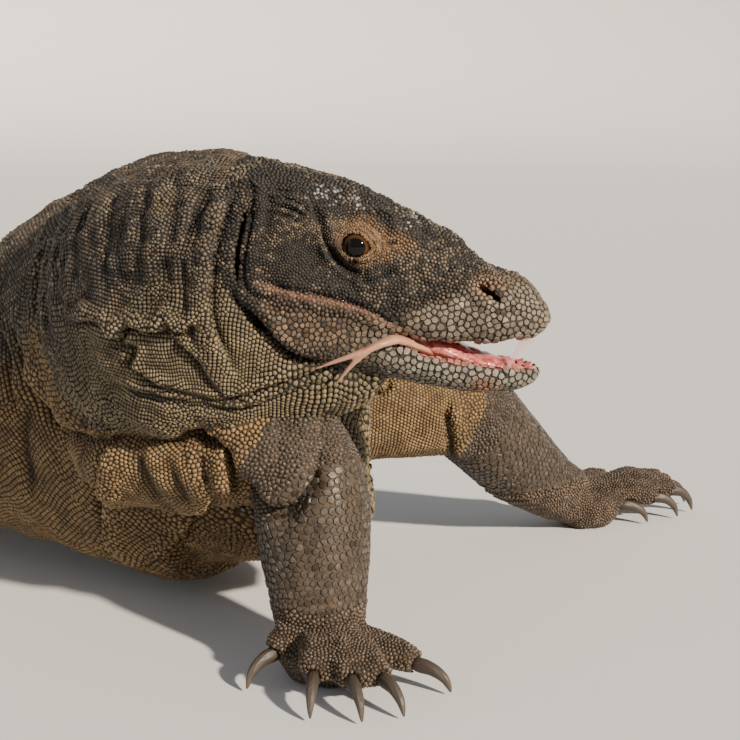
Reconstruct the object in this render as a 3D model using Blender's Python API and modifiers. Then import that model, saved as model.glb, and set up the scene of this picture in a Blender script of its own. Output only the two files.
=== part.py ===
"""A Komodo dragon at life size, as a still model for a museum.

It is about 2.55 m long measured along the body, low on its feet, its head turned to its left.
Metres, +Z up, +X the way the trunk faces, +Y the animal's left. The body from snout to tail is lofted
through named sections and fused into one hide, and each leg is fused the same way. Thin cuts then part
them where a person would name a part. The last step moves the origin to the middle of the footprint.
"""

import math

import bmesh
import bpy
import numpy as np
from mathutils import Matrix, Vector

# ---------------------------------------------------------------- driving dimensions
HEAD_LENGTH = 0.222  # snout to ear
TRUNK_LENGTH = 0.66  # shoulders to hips
TAIL_LENGTH = 1.42  # hips to tail tip
CHEST_WIDTH = 0.26  # across the ribs behind the shoulders
EAR = Vector((0.144, -0.105, 0.317))  # middle of the head at the ears
HEAD_TURN = math.radians(30.5)  # to the left of the trunk
HEAD_DIP = math.radians(13.0)  # nose down
EYE_RADIUS = 0.0115
CLAW_LENGTH = 0.040
CLAW_RADIUS = 0.0062
CLAW_SINK = 0.004  # of its root inside the toe
CLAW_LIFT = 0.003  # of its tip's middle line over the floor
CLAW_TIP = 0.0012  # radius left at the tip
TOE_RADIUS = 0.0125
SEAM = 0.0004  # between one length of the body and the next
FIT = 0.0004  # round what sits in a socket
LEG_GAP = 0.0008  # between a leg and the trunk that it is cut to fit
BODY_GRAIN = 0.003  # of the fused body before it is thinned
LEG_GRAIN = 0.0022
TONGUE_GRAIN = 0.0012
BODY_TRIANGLES, LEG_TRIANGLES, TONGUE_TRIANGLES = 2080, 355, 240
BODY_SOFTENING, LEG_SOFTENING = 14, 6  # rounds of smoothing over the fused forms
CUT_REACH = 0.085  # from a leg's middle line to the rim of the cut at its joint

for stale in list(bpy.data.objects):
    bpy.data.objects.remove(stale)
PARTS = bpy.data.collections.new("komodo_dragon")
TOOLS = bpy.data.collections.new("cutters")
for collection in (PARTS, TOOLS):
    bpy.context.scene.collection.children.link(collection)


# ---------------------------------------------------------------- lofting
def flow(rows, steps):
    """The rows made denser along a Catmull-Rom curve through them."""
    rows = np.array(rows, float)
    padded = np.vstack([2 * rows[0] - rows[1], rows, 2 * rows[-1] - rows[-2]])
    dense = []
    for a, b, c, d in zip(padded[:-3], padded[1:-2], padded[2:-1], padded[3:]):
        for t in np.arange(steps) / steps:
            bend = (2 * a - 5 * b + 4 * c - d) * t**2 + (3 * b - a - 3 * c + d) * t**3
            dense.append(0.5 * (2 * b + (c - a) * t + bend))
    dense.append(rows[-1])
    return np.array(dense)


def hoop(bm, centre, side, up, width, above, below, squares, sides):
    """One ring of a loft: a superellipse, with its own height and squareness above and below its middle."""
    ring = []
    for i in range(sides):
        c, s = math.cos(math.tau * i / sides), math.sin(math.tau * i / sides)
        power = 2 / squares[0 if s > 0 else 1]
        across = math.copysign(abs(c) ** power, c) * max(width, 0.001)
        height = math.copysign(abs(s) ** power, s) * max(above if s > 0 else below, 0.001)
        ring.append(bm.verts.new(centre + side * across + up * height))
    return ring


def cover(bm, rings):
    """Closes a loft over its rings, with a flat cap at each end."""
    for back, front in zip(rings, rings[1:]):
        for i in range(len(back)):
            j = (i + 1) % len(back)
            bm.faces.new((back[i], back[j], front[j], front[i]))
    bm.faces.new(rings[0][::-1])
    bm.faces.new(rings[-1])


def head_loft(bm, rows, squares, sides=40, steps=4):
    """A loft along the head. Rows: along, half width, top, widest line, bottom, all in head lengths."""
    rings = []
    for along, width, top, widest, bottom in flow(rows, steps):
        centre = HEAD @ Vector((along, 0, widest))
        sizes = [HEAD_LENGTH * size for size in (width, top - widest, widest - bottom)]
        rings.append(hoop(bm, centre, HEAD_RIGHT, HEAD_UP, *sizes, squares, sides))
    cover(bm, rings)


def path_loft(bm, rows, squares=(2.1, 2.1), sides=24, steps=4):
    """A loft whose rings stand across its own path, upright at its start.

    Rows: x, y, z, half width, above, below.
    """
    rows = flow(rows, steps)
    tangents = np.gradient(rows[:, :3], axis=0)
    side = None
    rings = []
    for row, tangent in zip(rows, tangents):
        tangent = Vector(tangent).normalized()
        side = Vector((0, 0, 1)).cross(tangent) if side is None else side - tangent * side.dot(tangent)
        side.normalize()
        rings.append(hoop(bm, Vector(row[:3]), side, tangent.cross(side), *row[3:], squares, sides))
    cover(bm, rings)


def lump(bm, centre, radii, frame=Matrix()):
    """A rounded mass, such as a muscle."""
    place = frame @ Matrix.Translation(centre) @ Matrix.Diagonal((*radii, 1))
    bmesh.ops.create_uvsphere(bm, u_segments=20, v_segments=12, radius=1, matrix=place)


# ---------------------------------------------------------------- head
def head_frame():
    """Origin at the snout's tip. X runs back to the ears, Y to the animal's right, Z up, in head lengths."""
    level = math.cos(HEAD_DIP)
    ahead = Vector((math.cos(HEAD_TURN) * level, math.sin(HEAD_TURN) * level, -math.sin(HEAD_DIP)))
    right = Vector((math.sin(HEAD_TURN), -math.cos(HEAD_TURN), 0))
    turn = Matrix((-ahead, right, right.cross(ahead))).transposed()
    return Matrix.Translation(EAR + ahead * HEAD_LENGTH) @ (turn * HEAD_LENGTH).to_4x4()


HEAD = head_frame()
HEAD_RIGHT = HEAD.col[1].xyz.normalized()
HEAD_UP = HEAD.col[2].xyz.normalized()

SKULL = [  # along, half width, top, widest line, lip line
    (-0.004, 0.035, 0.040, 0.020, -0.005),
    (0.015, 0.078, 0.076, 0.015, -0.030),
    (0.060, 0.116, 0.116, 0.005, -0.054),
    (0.120, 0.138, 0.145, -0.010, -0.076),
    (0.200, 0.150, 0.152, -0.030, -0.107),
    (0.270, 0.157, 0.168, -0.045, -0.122),
    (0.340, 0.165, 0.214, -0.055, -0.134),
    (0.410, 0.175, 0.238, -0.055, -0.138),
    (0.500, 0.190, 0.262, -0.045, -0.134),
    (0.620, 0.214, 0.290, -0.035, -0.140),
    (0.750, 0.246, 0.322, -0.025, -0.150),
    (0.900, 0.272, 0.336, -0.010, -0.160),
    (1.060, 0.286, 0.336, 0.000, -0.180),
    (1.200, 0.225, 0.262, 0.000, -0.170),
]
JAW = [  # along, half width, lip line, widest line, chin line
    (-0.018, 0.030, -0.142, -0.155, -0.172),
    (0.000, 0.064, -0.135, -0.160, -0.202),
    (0.050, 0.104, -0.131, -0.170, -0.236),
    (0.120, 0.128, -0.132, -0.180, -0.257),
    (0.240, 0.146, -0.143, -0.195, -0.280),
    (0.370, 0.160, -0.148, -0.200, -0.288),
    (0.500, 0.178, -0.116, -0.190, -0.285),
    (0.640, 0.206, -0.080, -0.165, -0.262),
    (0.780, 0.234, -0.050, -0.130, -0.228),
    (0.920, 0.254, -0.030, -0.100, -0.180),
    (1.060, 0.250, -0.020, -0.080, -0.140),
]
MUSCLES = [  # along, right, up, then half length, half width, half height, one of each on either side
    (0.190, 0.098, 0.062, 0.075, 0.052, 0.052),  # round the nostril
    (0.590, 0.125, 0.195, 0.150, 0.050, 0.050),  # brow
    (0.660, 0.158, 0.118, 0.100, 0.058, 0.072),  # lids
    (0.880, 0.190, 0.130, 0.190, 0.090, 0.130),  # temple
    (0.800, 0.178, -0.130, 0.190, 0.082, 0.095),  # cheek
]
MOUTH = [  # the hollow between the lips: along, half width, palate, widest line, floor
    (0.020, 0.030, -0.060, -0.100, -0.150),
    (0.060, 0.078, -0.045, -0.110, -0.175),
    (0.140, 0.104, -0.060, -0.120, -0.185),
    (0.260, 0.120, -0.090, -0.140, -0.195),
    (0.400, 0.130, -0.110, -0.145, -0.185),
    (0.520, 0.120, -0.110, -0.130, -0.150),
]
EYE = Vector((0.660, 0.176, 0.130))
LIPS = [  # where the mouth shuts, from before the snout to the jaw's hinge: along, up
    (-0.20, -0.10),
    (0.12, -0.105),
    (0.30, -0.136),
    (0.38, -0.142),
    (0.45, -0.140),
    (0.53, -0.118),
    (0.65, -0.085),
    (0.80, -0.060),
    (0.92, -0.050),
]
HEAD_EDGE = [  # behind the ears, round the hinge and along under the jaw, where the throat begins
    (1.16, 0.80),
    (1.10, 0.20),
    (1.06, -0.02),
    (0.99, -0.105),
    (0.86, -0.205),
    (0.70, -0.262),
    (0.54, -0.292),
    (0.42, -0.300),
    (0.30, -0.420),
    (0.20, -0.800),
]
JAW_EDGE = LIPS[:-1] + [(0.94, -0.045), (1.04, -0.060)]


def head(bm):
    head_loft(bm, SKULL, squares=(2.2, 3.0))
    head_loft(bm, JAW, squares=(3.0, 2.2))
    for along, right, up, *radii in MUSCLES:
        for side in (1, -1):
            lump(bm, (along, side * right, up), radii, HEAD)


TONGUE_BODY = [  # along, right, up, half width, half thickness, in head lengths
    (0.24, 0.010, -0.180, 0.035, 0.016),
    (0.34, 0.050, -0.168, 0.034, 0.016),
    (0.42, 0.105, -0.148, 0.030, 0.016),
    (0.47, 0.165, -0.134, 0.024, 0.015),
    (0.51, 0.205, -0.150, 0.020, 0.013),
    (0.54, 0.220, -0.172, 0.018, 0.011),
]
TONGUE_TIPS = [  # each tine of the fork leaves the last row above
    [(0.62, 0.250, -0.222, 0.010, 0.009), (0.70, 0.272, -0.272, 0.005, 0.005)],
    [(0.585, 0.235, -0.235, 0.010, 0.009), (0.625, 0.238, -0.315, 0.005, 0.005)],
]


def tongue(bm):
    """The forked tongue, out at the right corner of the lips and hanging back."""
    root = TONGUE_BODY[-2]
    for rows in (TONGUE_BODY, *[[root, TONGUE_BODY[-1], *tip] for tip in TONGUE_TIPS]):
        path = []
        for along, right, up, width, thick in rows:
            point = HEAD @ Vector((along, right, up))
            sizes = [HEAD_LENGTH * size for size in (width, thick, thick)]
            path.append((*point, *sizes))
        path_loft(bm, path, sides=12, steps=3)


# ---------------------------------------------------------------- neck, trunk and tail
NECK = [  # x, y, z, half width, above, below: the raised neck, then the throat that hangs under the jaw
    (-0.170, 0.000, 0.185, 0.108, 0.142, 0.100),
    (-0.095, -0.010, 0.200, 0.114, 0.152, 0.100),
    (-0.020, -0.030, 0.225, 0.114, 0.144, 0.101),
    (0.040, -0.060, 0.258, 0.114, 0.138, 0.104),
    (0.088, -0.084, 0.278, 0.104, 0.119, 0.113),
    (0.130, -0.098, 0.284, 0.086, 0.108, 0.115),
    (0.168, -0.088, 0.270, 0.068, 0.092, 0.097),
    (0.200, -0.070, 0.254, 0.050, 0.062, 0.066),
    (0.228, -0.052, 0.246, 0.030, 0.030, 0.040),
]
TRUNK = [  # share of the trunk's length behind the shoulders, half width over the chest's, top, bottom
    (-0.23, 0.20, 0.180, 0.100),
    (-0.19, 0.48, 0.220, 0.050),
    (-0.13, 0.72, 0.268, 0.028),
    (-0.06, 0.90, 0.314, 0.014),
    (0.08, 0.98, 0.328, 0.010),
    (0.22, 1.02, 0.304, 0.020),
    (0.40, 1.08, 0.270, 0.031),
    (0.60, 1.12, 0.254, 0.034),
    (0.80, 1.06, 0.252, 0.040),
    (0.96, 0.90, 0.254, 0.062),
]
TAIL = [  # share of the tail's length behind the hips, half width, top, bottom
    (0.09, 0.086, 0.244, 0.082),
    (0.18, 0.066, 0.214, 0.072),
    (0.31, 0.050, 0.170, 0.042),
    (0.44, 0.040, 0.130, 0.010),
    (0.56, 0.031, 0.102, -0.006),
    (0.72, 0.022, 0.072, -0.005),
    (0.87, 0.014, 0.044, -0.004),
    (0.97, 0.008, 0.024, -0.003),
    (1.00, 0.004, 0.013, -0.002),
]
NECK_SQUARES = (2.0, 2.2)
TRUNK_SQUARES = (1.9, 2.3)


def tail_sway(behind):
    """How far the spine lies to the left at a distance behind the shoulders: straight ribs, then a lazy S."""
    share = max(0.0, behind - 0.6 * TRUNK_LENGTH) / TAIL_LENGTH
    return 0.20 * math.sin(3.7 * share) * share


def spine_row(behind, half_width, top, bottom):
    half = (top - bottom) / 2
    return (-behind, tail_sway(behind), bottom + half, half_width, half, half)


def trunk_and_tail(bm):
    rows = [spine_row(share * TRUNK_LENGTH, wide * CHEST_WIDTH / 2, *zs) for share, wide, *zs in TRUNK]
    rows += [spine_row(TRUNK_LENGTH + share * TAIL_LENGTH, wide, *zs) for share, wide, *zs in TAIL]
    path_loft(bm, rows[::-1], squares=TRUNK_SQUARES, sides=36)


def whole_body(bm):
    head(bm)
    path_loft(bm, NECK, squares=NECK_SQUARES, sides=40)
    trunk_and_tail(bm)


# ---------------------------------------------------------------- legs, feet and claws
LEGS = {
    # limb: x, y, z and radius, from inside the trunk to the ankle
    # toes, from the inner to the outer: heading in degrees, reach from the ankle, height of the knuckle
    "fore_right": {
        "limb": [
            (-0.040, -0.070, 0.160, 0.052),
            (0.030, -0.100, 0.158, 0.056),
            (0.100, -0.104, 0.166, 0.050),
            (0.152, -0.090, 0.172, 0.046),
            (0.173, -0.079, 0.140, 0.045),
            (0.180, -0.082, 0.098, 0.044),
            (0.187, -0.087, 0.060, 0.039),
            (0.193, -0.091, 0.030, 0.034),
        ],
        "toes": [
            (8, 0.082, 0.026),
            (-21, 0.086, 0.030),
            (-37, 0.082, 0.032),
            (-57, 0.072, 0.032),
            (-104, 0.045, 0.034),
        ],
        "ankle": (0.194, -0.092, 0.030),
        "palm": 0.038,
    },
    "fore_left": {
        "limb": [
            (-0.040, 0.060, 0.160, 0.052),
            (0.030, 0.100, 0.156, 0.056),
            (0.088, 0.160, 0.150, 0.050),
            (0.122, 0.210, 0.143, 0.047),
            (0.134, 0.252, 0.109, 0.045),
            (0.143, 0.290, 0.075, 0.041),
            (0.155, 0.326, 0.048, 0.034),
            (0.166, 0.354, 0.032, 0.030),
        ],
        "toes": [
            (36, 0.052, 0.029),
            (46, 0.090, 0.035),
            (54, 0.116, 0.038),
            (65, 0.126, 0.037),
            (96, 0.094, 0.033),
        ],
        "ankle": (0.166, 0.357, 0.031),
        "palm": 0.036,
    },
    "hind_right": {
        "limb": [
            (-0.690, 0.000, 0.160, 0.060),
            (-0.650, -0.090, 0.162, 0.068),
            (-0.585, -0.200, 0.160, 0.060),
            (-0.560, -0.258, 0.146, 0.050),
            (-0.600, -0.284, 0.110, 0.045),
            (-0.645, -0.294, 0.075, 0.037),
            (-0.672, -0.300, 0.048, 0.032),
            (-0.668, -0.308, 0.030, 0.030),
        ],
        "toes": [
            (8, 0.088, 0.026),
            (-8, 0.126, 0.030),
            (-20, 0.158, 0.032),
            (-33, 0.172, 0.032),
            (-70, 0.100, 0.028),
        ],
        "ankle": (-0.662, -0.308, 0.030),
        "palm": 0.042,
    },
    "hind_left": {
        "limb": [
            (-0.700, 0.040, 0.160, 0.060),
            (-0.640, 0.115, 0.162, 0.068),
            (-0.560, 0.200, 0.160, 0.060),
            (-0.515, 0.248, 0.146, 0.050),
            (-0.530, 0.288, 0.110, 0.045),
            (-0.562, 0.316, 0.075, 0.037),
            (-0.580, 0.332, 0.048, 0.032),
            (-0.572, 0.342, 0.030, 0.030),
        ],
        "toes": [
            (-2, 0.088, 0.026),
            (14, 0.126, 0.030),
            (26, 0.158, 0.032),
            (38, 0.172, 0.032),
            (74, 0.100, 0.028),
        ],
        "ankle": (-0.568, 0.342, 0.030),
        "palm": 0.042,
    },
}
KNEE_ROW, ANKLE_ROW = 3, 6  # in each limb; on a foreleg they are the elbow and the wrist
ANKLE_CUT = 0.055  # height of the level cut above each foot
TOE_TAPER = (1.30, 1.20, 1.10, 0.90)
TOE_SHARES = (0.20, 0.55, 0.80, 1.0)  # of its reach: the palm, the knuckle, the last joint and the end


def heading_vector(degrees):
    return Vector((math.cos(math.radians(degrees)), math.sin(math.radians(degrees)), 0))


def toe_rows(ankle, heading, reach, knuckle):
    """Points and radii along a toe: out of the palm, over the knuckle and down to its claw."""
    away = heading_vector(heading)
    start = Vector((ankle[0], ankle[1], 0))
    heights = (ankle[2], knuckle, 0.92 * knuckle, 0.60 * knuckle + CLAW_SINK)
    points = [start + away * (share * reach) + Vector((0, 0, z)) for share, z in zip(TOE_SHARES, heights)]
    return [(*point, *[TOE_RADIUS * taper] * 3) for point, taper in zip(points, TOE_TAPER)]


def claw(bm, ankle, toe, extra=0.0):
    """A claw curving down from the toe's end to a tip just off the floor. The extra is the room it needs."""
    away = heading_vector(toe[0])
    root = Vector(toe_rows(ankle, *toe)[-1][:3]) - away * CLAW_SINK
    drop = root.z - CLAW_LIFT
    run = 0.86 * math.sqrt(max(CLAW_LENGTH**2 - drop**2, 0.0))
    rows = []
    for share in (0.0, 0.35, 0.7, 1.0):
        turn = share * math.pi / 2
        fall = drop * (1 - math.cos(turn)) - 0.002 * math.sin(math.pi * share)
        point = root + away * (run * math.sin(turn)) - Vector((0, 0, fall))
        radius = CLAW_RADIUS * (1 - share) ** 0.6 + CLAW_TIP
        rows.append((*point, 0.85 * radius + extra, radius + extra, radius + extra))
    path_loft(bm, rows, sides=6, steps=1)


def claws(bm, plan, extra):
    for toe in plan["toes"]:
        claw(bm, plan["ankle"], toe, extra)


def leg(bm, plan):
    path_loft(bm, [(x, y, z, r, r, r) for x, y, z, r in plan["limb"]], sides=24)
    bases = [Vector(toe_rows(plan["ankle"], *toe)[0][:3]) for toe in plan["toes"]]
    middle = sum(bases, Vector()) / len(bases)
    lump(bm, (middle.x, middle.y, 0.018), (plan["palm"], plan["palm"], 0.026))
    for toe in plan["toes"]:
        path_loft(bm, toe_rows(plan["ankle"], *toe), sides=14)


# ---------------------------------------------------------------- fusing and cutting
def new_object(name, bm, collection=PARTS):
    bmesh.ops.recalc_face_normals(bm, faces=bm.faces)
    mesh = bpy.data.meshes.new(name)
    bm.to_mesh(mesh)
    bm.free()
    made = bpy.data.objects.new(name, mesh)
    collection.objects.link(made)
    if collection is TOOLS:
        made.hide_render = True
        made.display_type = "WIRE"
    return made


def settle(made):
    """Applies the object's modifiers."""
    bpy.context.view_layer.update()
    mesh = bpy.data.meshes.new_from_object(made.evaluated_get(bpy.context.evaluated_depsgraph_get()))
    made.modifiers.clear()
    made.data = mesh


def fuse(made, grain, iterations):
    """The object's overlapping forms as one closed skin, softened where they meet."""
    remesh = made.modifiers.new("fuse", "REMESH")
    remesh.mode = "VOXEL"
    remesh.voxel_size = grain
    if iterations:
        smooth = made.modifiers.new("soften", "SMOOTH")
        smooth.factor = 0.5
        smooth.iterations = iterations
    settle(made)


def bodies_of(bm):
    """The sets of vertices that hang together, the largest first."""
    bodies = []
    left = set(bm.verts)
    while left:
        body, edge = set(), {left.pop()}
        while edge:
            body |= edge
            edge = {link.other_vert(vert) for vert in edge for link in vert.link_edges} - body
        left -= body
        bodies.append(body)
    return sorted(bodies, key=len, reverse=True)


def drop_pockets(made):
    """Removes sealed hollows that the fusing left inside."""
    bm = bmesh.new()
    bm.from_mesh(made.data)
    pockets = [vert for body in bodies_of(bm)[1:] for vert in body]
    bmesh.ops.delete(bm, geom=pockets, context="VERTS")
    bm.to_mesh(made.data)
    bm.free()


def stand(made):
    """Cuts the object off flat at z = 0, where it bears on the floor."""
    bm = bmesh.new()
    bm.from_mesh(made.data)
    geometry = bm.verts[:] + bm.edges[:] + bm.faces[:]
    bmesh.ops.bisect_plane(bm, geom=geometry, plane_co=(0, 0, 0), plane_no=(0, 0, 1), clear_inner=True)
    bmesh.ops.holes_fill(bm, edges=[edge for edge in bm.edges if edge.is_boundary], sides=0)
    bmesh.ops.triangulate(bm, faces=bm.faces[:])
    bm.to_mesh(made.data)
    bm.free()


def thin(made, triangles, spare=None):
    """Collapses the flatter stretches until about this many triangles are left, sparing what a test picks."""
    made.data.calc_loop_triangles()
    collapse = made.modifiers.new("thin", "DECIMATE")
    collapse.ratio = triangles / len(made.data.loop_triangles)
    if spare:
        group = made.vertex_groups.new(name="plain")
        group.add([vertex.index for vertex in made.data.vertices if not spare(vertex.co)], 1.0, "REPLACE")
        collapse.vertex_group = group.name
    settle(made)
    made.vertex_groups.clear()


def cut(made, cutter):
    boolean = made.modifiers.new(cutter.name, "BOOLEAN")
    boolean.operation = "DIFFERENCE"
    boolean.solver = "EXACT"
    boolean.object = cutter
    settle(made)


def roomier(name, made, gap):
    """A copy grown by a gap, to cut from what lies against it."""
    copy = bpy.data.objects.new(name, made.data.copy())
    TOOLS.objects.link(copy)
    copy.hide_render = True
    copy.display_type = "WIRE"
    swell = copy.modifiers.new("swell", "DISPLACE")
    swell.strength = gap
    swell.mid_level = 0.0
    settle(copy)
    return copy


def hide_of(name, build, grain, iterations, triangles):
    bm = bmesh.new()
    build(bm)
    made = new_object(name, bm)
    fuse(made, grain, iterations)
    drop_pockets(made)
    thin(made, triangles)
    return made


def slab(bm, centre, normal, half):
    """A flat cut of the seam's width."""
    turn = Vector((1, 0, 0)).rotation_difference(normal).to_matrix().to_4x4()
    place = Matrix.Translation(centre) @ turn @ Matrix.Diagonal((SEAM, 2 * half, 2 * half, 1))
    bmesh.ops.create_cube(bm, size=1, matrix=place)


def head_sheet(bm, path):
    """A bent cut of the seam's width, right across the head along a path in its upright plane."""
    line = flow([(*point, 0) for point in path], 2)[:, :2] * HEAD_LENGTH
    away = np.gradient(line, axis=0)
    away = np.stack([-away[:, 1], away[:, 0]], axis=1) / np.linalg.norm(away, axis=1)[:, None]
    outline = np.vstack([line + away * SEAM / 2, (line - away * SEAM / 2)[::-1]]) / HEAD_LENGTH
    ends = []
    for side in (-1.0, 1.0):
        ends.append([bm.verts.new(HEAD @ Vector((along, side, up))) for along, up in outline])
    cover(bm, ends)


def cutter_of(name, build):
    bm = bmesh.new()
    build(bm)
    return new_object(name, bm, TOOLS)


def pieces_of(made):
    """The object's loose bodies, each as an object of its own."""
    bm = bmesh.new()
    bm.from_mesh(made.data)
    made_pieces = []
    for body in bodies_of(bm):
        part = bmesh.new()
        index = {vert: part.verts.new(vert.co) for vert in body}
        for face in bm.faces:
            if face.verts[0] in body:
                part.faces.new([index[vert] for vert in face.verts])
        made_pieces.append(new_object("piece", part))
    bm.free()
    bpy.data.objects.remove(made)
    return made_pieces


def middle_of(made):
    return sum((vertex.co for vertex in made.data.vertices), Vector()) / len(made.data.vertices)


def name_pieces(made, places):
    """Splits the object and gives each body the name whose place lies nearest to its middle."""
    pieces = pieces_of(made)
    if len(pieces) != len(places):
        middles = [tuple(round(c, 3) for c in middle_of(piece)) for piece in pieces]
        raise ValueError(f"{len(pieces)} bodies for {len(places)} names: {middles}")
    for name, place in places.items():
        nearest = min(pieces, key=lambda piece: (middle_of(piece) - Vector(place)).length)
        pieces.remove(nearest)
        nearest.name = name
        nearest.data.name = name


# ---------------------------------------------------------------- the body
NECK_CUT = (Vector((-0.010, -0.020, 0.230)), Vector((0.70, -0.20, 0.68)))
TRUNK_CUTS = (-0.27, -0.55)  # along X, before and behind the belly
TAIL_CUTS = (0.10, 0.32, 0.56, 0.78)  # shares of the tail's length behind the hips


def body_cuts(bm):
    slab(bm, *NECK_CUT, half=0.35)
    for x in TRUNK_CUTS:
        slab(bm, Vector((x, 0, 0.15)), Vector((1, 0, 0)), half=0.30)
    for share in TAIL_CUTS:
        behind = TRUNK_LENGTH + share * TAIL_LENGTH
        slab(bm, Vector((-behind, tail_sway(behind), 0.10)), Vector((1, 0, 0)), half=0.22)


def eyeball(bm, side, radius):
    centre = HEAD @ Vector((EYE.x, side * EYE.y, EYE.z))
    place = Matrix.Translation(centre)
    bmesh.ops.create_uvsphere(bm, u_segments=12, v_segments=8, radius=radius, matrix=place)


def on_head(point):
    return (HEAD.inverted() @ point).x < 1.0


body = hide_of("body", whole_body, BODY_GRAIN, BODY_SOFTENING, 2 * BODY_TRIANGLES)
thin(body, BODY_TRIANGLES, spare=on_head)
stand(body)
body_room = roomier("body_room", body, LEG_GAP)
cut(body, cutter_of("mouth_hollow", lambda bm: head_loft(bm, MOUTH, (2.4, 2.4), sides=16, steps=1)))
tongue_bm = bmesh.new()
tongue(tongue_bm)
tongue_piece = new_object("tongue", tongue_bm)
fuse(tongue_piece, TONGUE_GRAIN, 0)
thin(tongue_piece, TONGUE_TRIANGLES)
cut(body, roomier("tongue_room", tongue_piece, FIT))
for side, name in ((1, "socket_right"), (-1, "socket_left")):
    cut(body, cutter_of(name, lambda bm: eyeball(bm, side, EYE_RADIUS + FIT)))
cut(body, cutter_of("head_edge", lambda bm: head_sheet(bm, HEAD_EDGE)))
cut(body, cutter_of("lips", lambda bm: head_sheet(bm, JAW_EDGE)))
cut(body, cutter_of("body_cuts", body_cuts))
name_pieces(
    body,
    {
        "head": HEAD @ Vector((0.6, 0, 0.05)),
        "lower_jaw": HEAD @ Vector((0.6, 0, -0.17)),
        "neck": (0.080, -0.080, 0.260),
        "chest": (-0.130, 0, 0.170),
        "belly": (-0.410, 0, 0.150),
        "pelvis": (-0.680, 0, 0.150),
        "tail_1": (-0.950, 0.0, 0.130),
        "tail_2": (-1.280, 0.06, 0.070),
        "tail_3": (-1.600, 0.06, 0.040),
        "tail_4": (-1.930, -0.02, 0.015),
    },
)


# ---------------------------------------------------------------- the legs
LEG_NAMES = {"fore": ("upper_arm", "forearm", "forefoot"), "hind": ("thigh", "shin", "hindfoot")}


def joint_cuts(bm, limb):
    """A cut square to the limb at the elbow or knee, and a level one above the foot."""
    points = [Vector(row[:3]) for row in limb]
    bend = points[KNEE_ROW + 1] - points[KNEE_ROW - 1]
    slab(bm, points[KNEE_ROW], bend.normalized(), half=CUT_REACH)
    ankle = points[ANKLE_ROW]
    slab(bm, Vector((ankle.x, ankle.y, ANKLE_CUT)), Vector((0, 0, 1)), half=CUT_REACH)


def make_leg(which, plan):
    """One leg cut clear of the body, parted at its joints, with a claw in a socket at the end of each toe."""
    limb = hide_of(which, lambda bm: leg(bm, plan), LEG_GRAIN, LEG_SOFTENING, LEG_TRIANGLES)
    stand(limb)
    cut(limb, body_room)
    for number, toe in enumerate(plan["toes"], start=1):
        bm = bmesh.new()
        claw(bm, plan["ankle"], toe)
        new_object(f"claw_{which}_{number}", bm)
    cut(limb, cutter_of(f"claw_rooms_{which}", lambda bm: claws(bm, plan, FIT)))
    cut(limb, cutter_of(f"joint_cuts_{which}", lambda bm: joint_cuts(bm, plan["limb"])))
    end, side = which.split("_")
    rows = plan["limb"]
    places = (rows[1][:3], rows[KNEE_ROW + 1][:3], plan["ankle"])
    name_pieces(limb, {f"{name}_{side}": place for name, place in zip(LEG_NAMES[end], places)})


for which, plan in LEGS.items():
    make_leg(which, plan)

# ---------------------------------------------------------------- eyes
for side, name in ((1, "eye_right"), (-1, "eye_left")):
    bm = bmesh.new()
    eyeball(bm, side, EYE_RADIUS)
    new_object(name, bm)

# ---------------------------------------------------------------- finish
FINISHES = {  # the start of a node's name: colour, roughness
    "claw": ((0.055, 0.042, 0.030), 0.35),
    "eye": ((0.030, 0.014, 0.006), 0.08),
    "tongue": ((0.520, 0.260, 0.190), 0.35),
    "head": ((0.085, 0.072, 0.060), 0.62),
    "lower_jaw": ((0.180, 0.140, 0.105), 0.60),
    "": ((0.115, 0.082, 0.050), 0.65),
}


def finish(made):
    material = bpy.data.materials.new(made.name)
    material.use_nodes = True
    shader = material.node_tree.nodes["Principled BSDF"]
    colour, roughness = next(look for start, look in FINISHES.items() if made.name.startswith(start))
    shader.inputs["Base Color"].default_value = (*colour, 1)
    shader.inputs["Roughness"].default_value = roughness
    shader.inputs["Metallic"].default_value = 0.0
    material.diffuse_color = (*colour, 1)
    made.data.materials.clear()
    made.data.materials.append(material)


def centre_on_footprint():
    """Hangs every part from one empty, moved so that the origin is under the middle of the whole animal."""
    corners = np.array([vertex.co for made in PARTS.objects for vertex in made.data.vertices])
    low, high = corners.min(axis=0), corners.max(axis=0)
    middle = (low + high) / 2
    root = bpy.data.objects.new("footprint_middle", None)
    PARTS.objects.link(root)
    root.location = (-middle[0], -middle[1], -low[2])
    for made in PARTS.objects:
        if made is not root:
            made.parent = root
    return root.location.copy()


for made in PARTS.objects:
    finish(made)
CENTRE = -centre_on_footprint()
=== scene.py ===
"""A Komodo dragon at life size, dressed for a museum: hide, scales, eyes, mouth, tongue and claws.

Metres, +Z up, +X the way the trunk faces, +Y the animal's left. The script runs from top to bottom in the
order of making: the stand-in studio, the hide and its folds, the eyes, the scales, the tongue and mouth, the
claws.
"""

import math

import bmesh
import bpy
import numpy as np
from mathutils import Matrix, Vector
from mathutils.bvhtree import BVHTree
from mathutils.kdtree import KDTree


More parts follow.
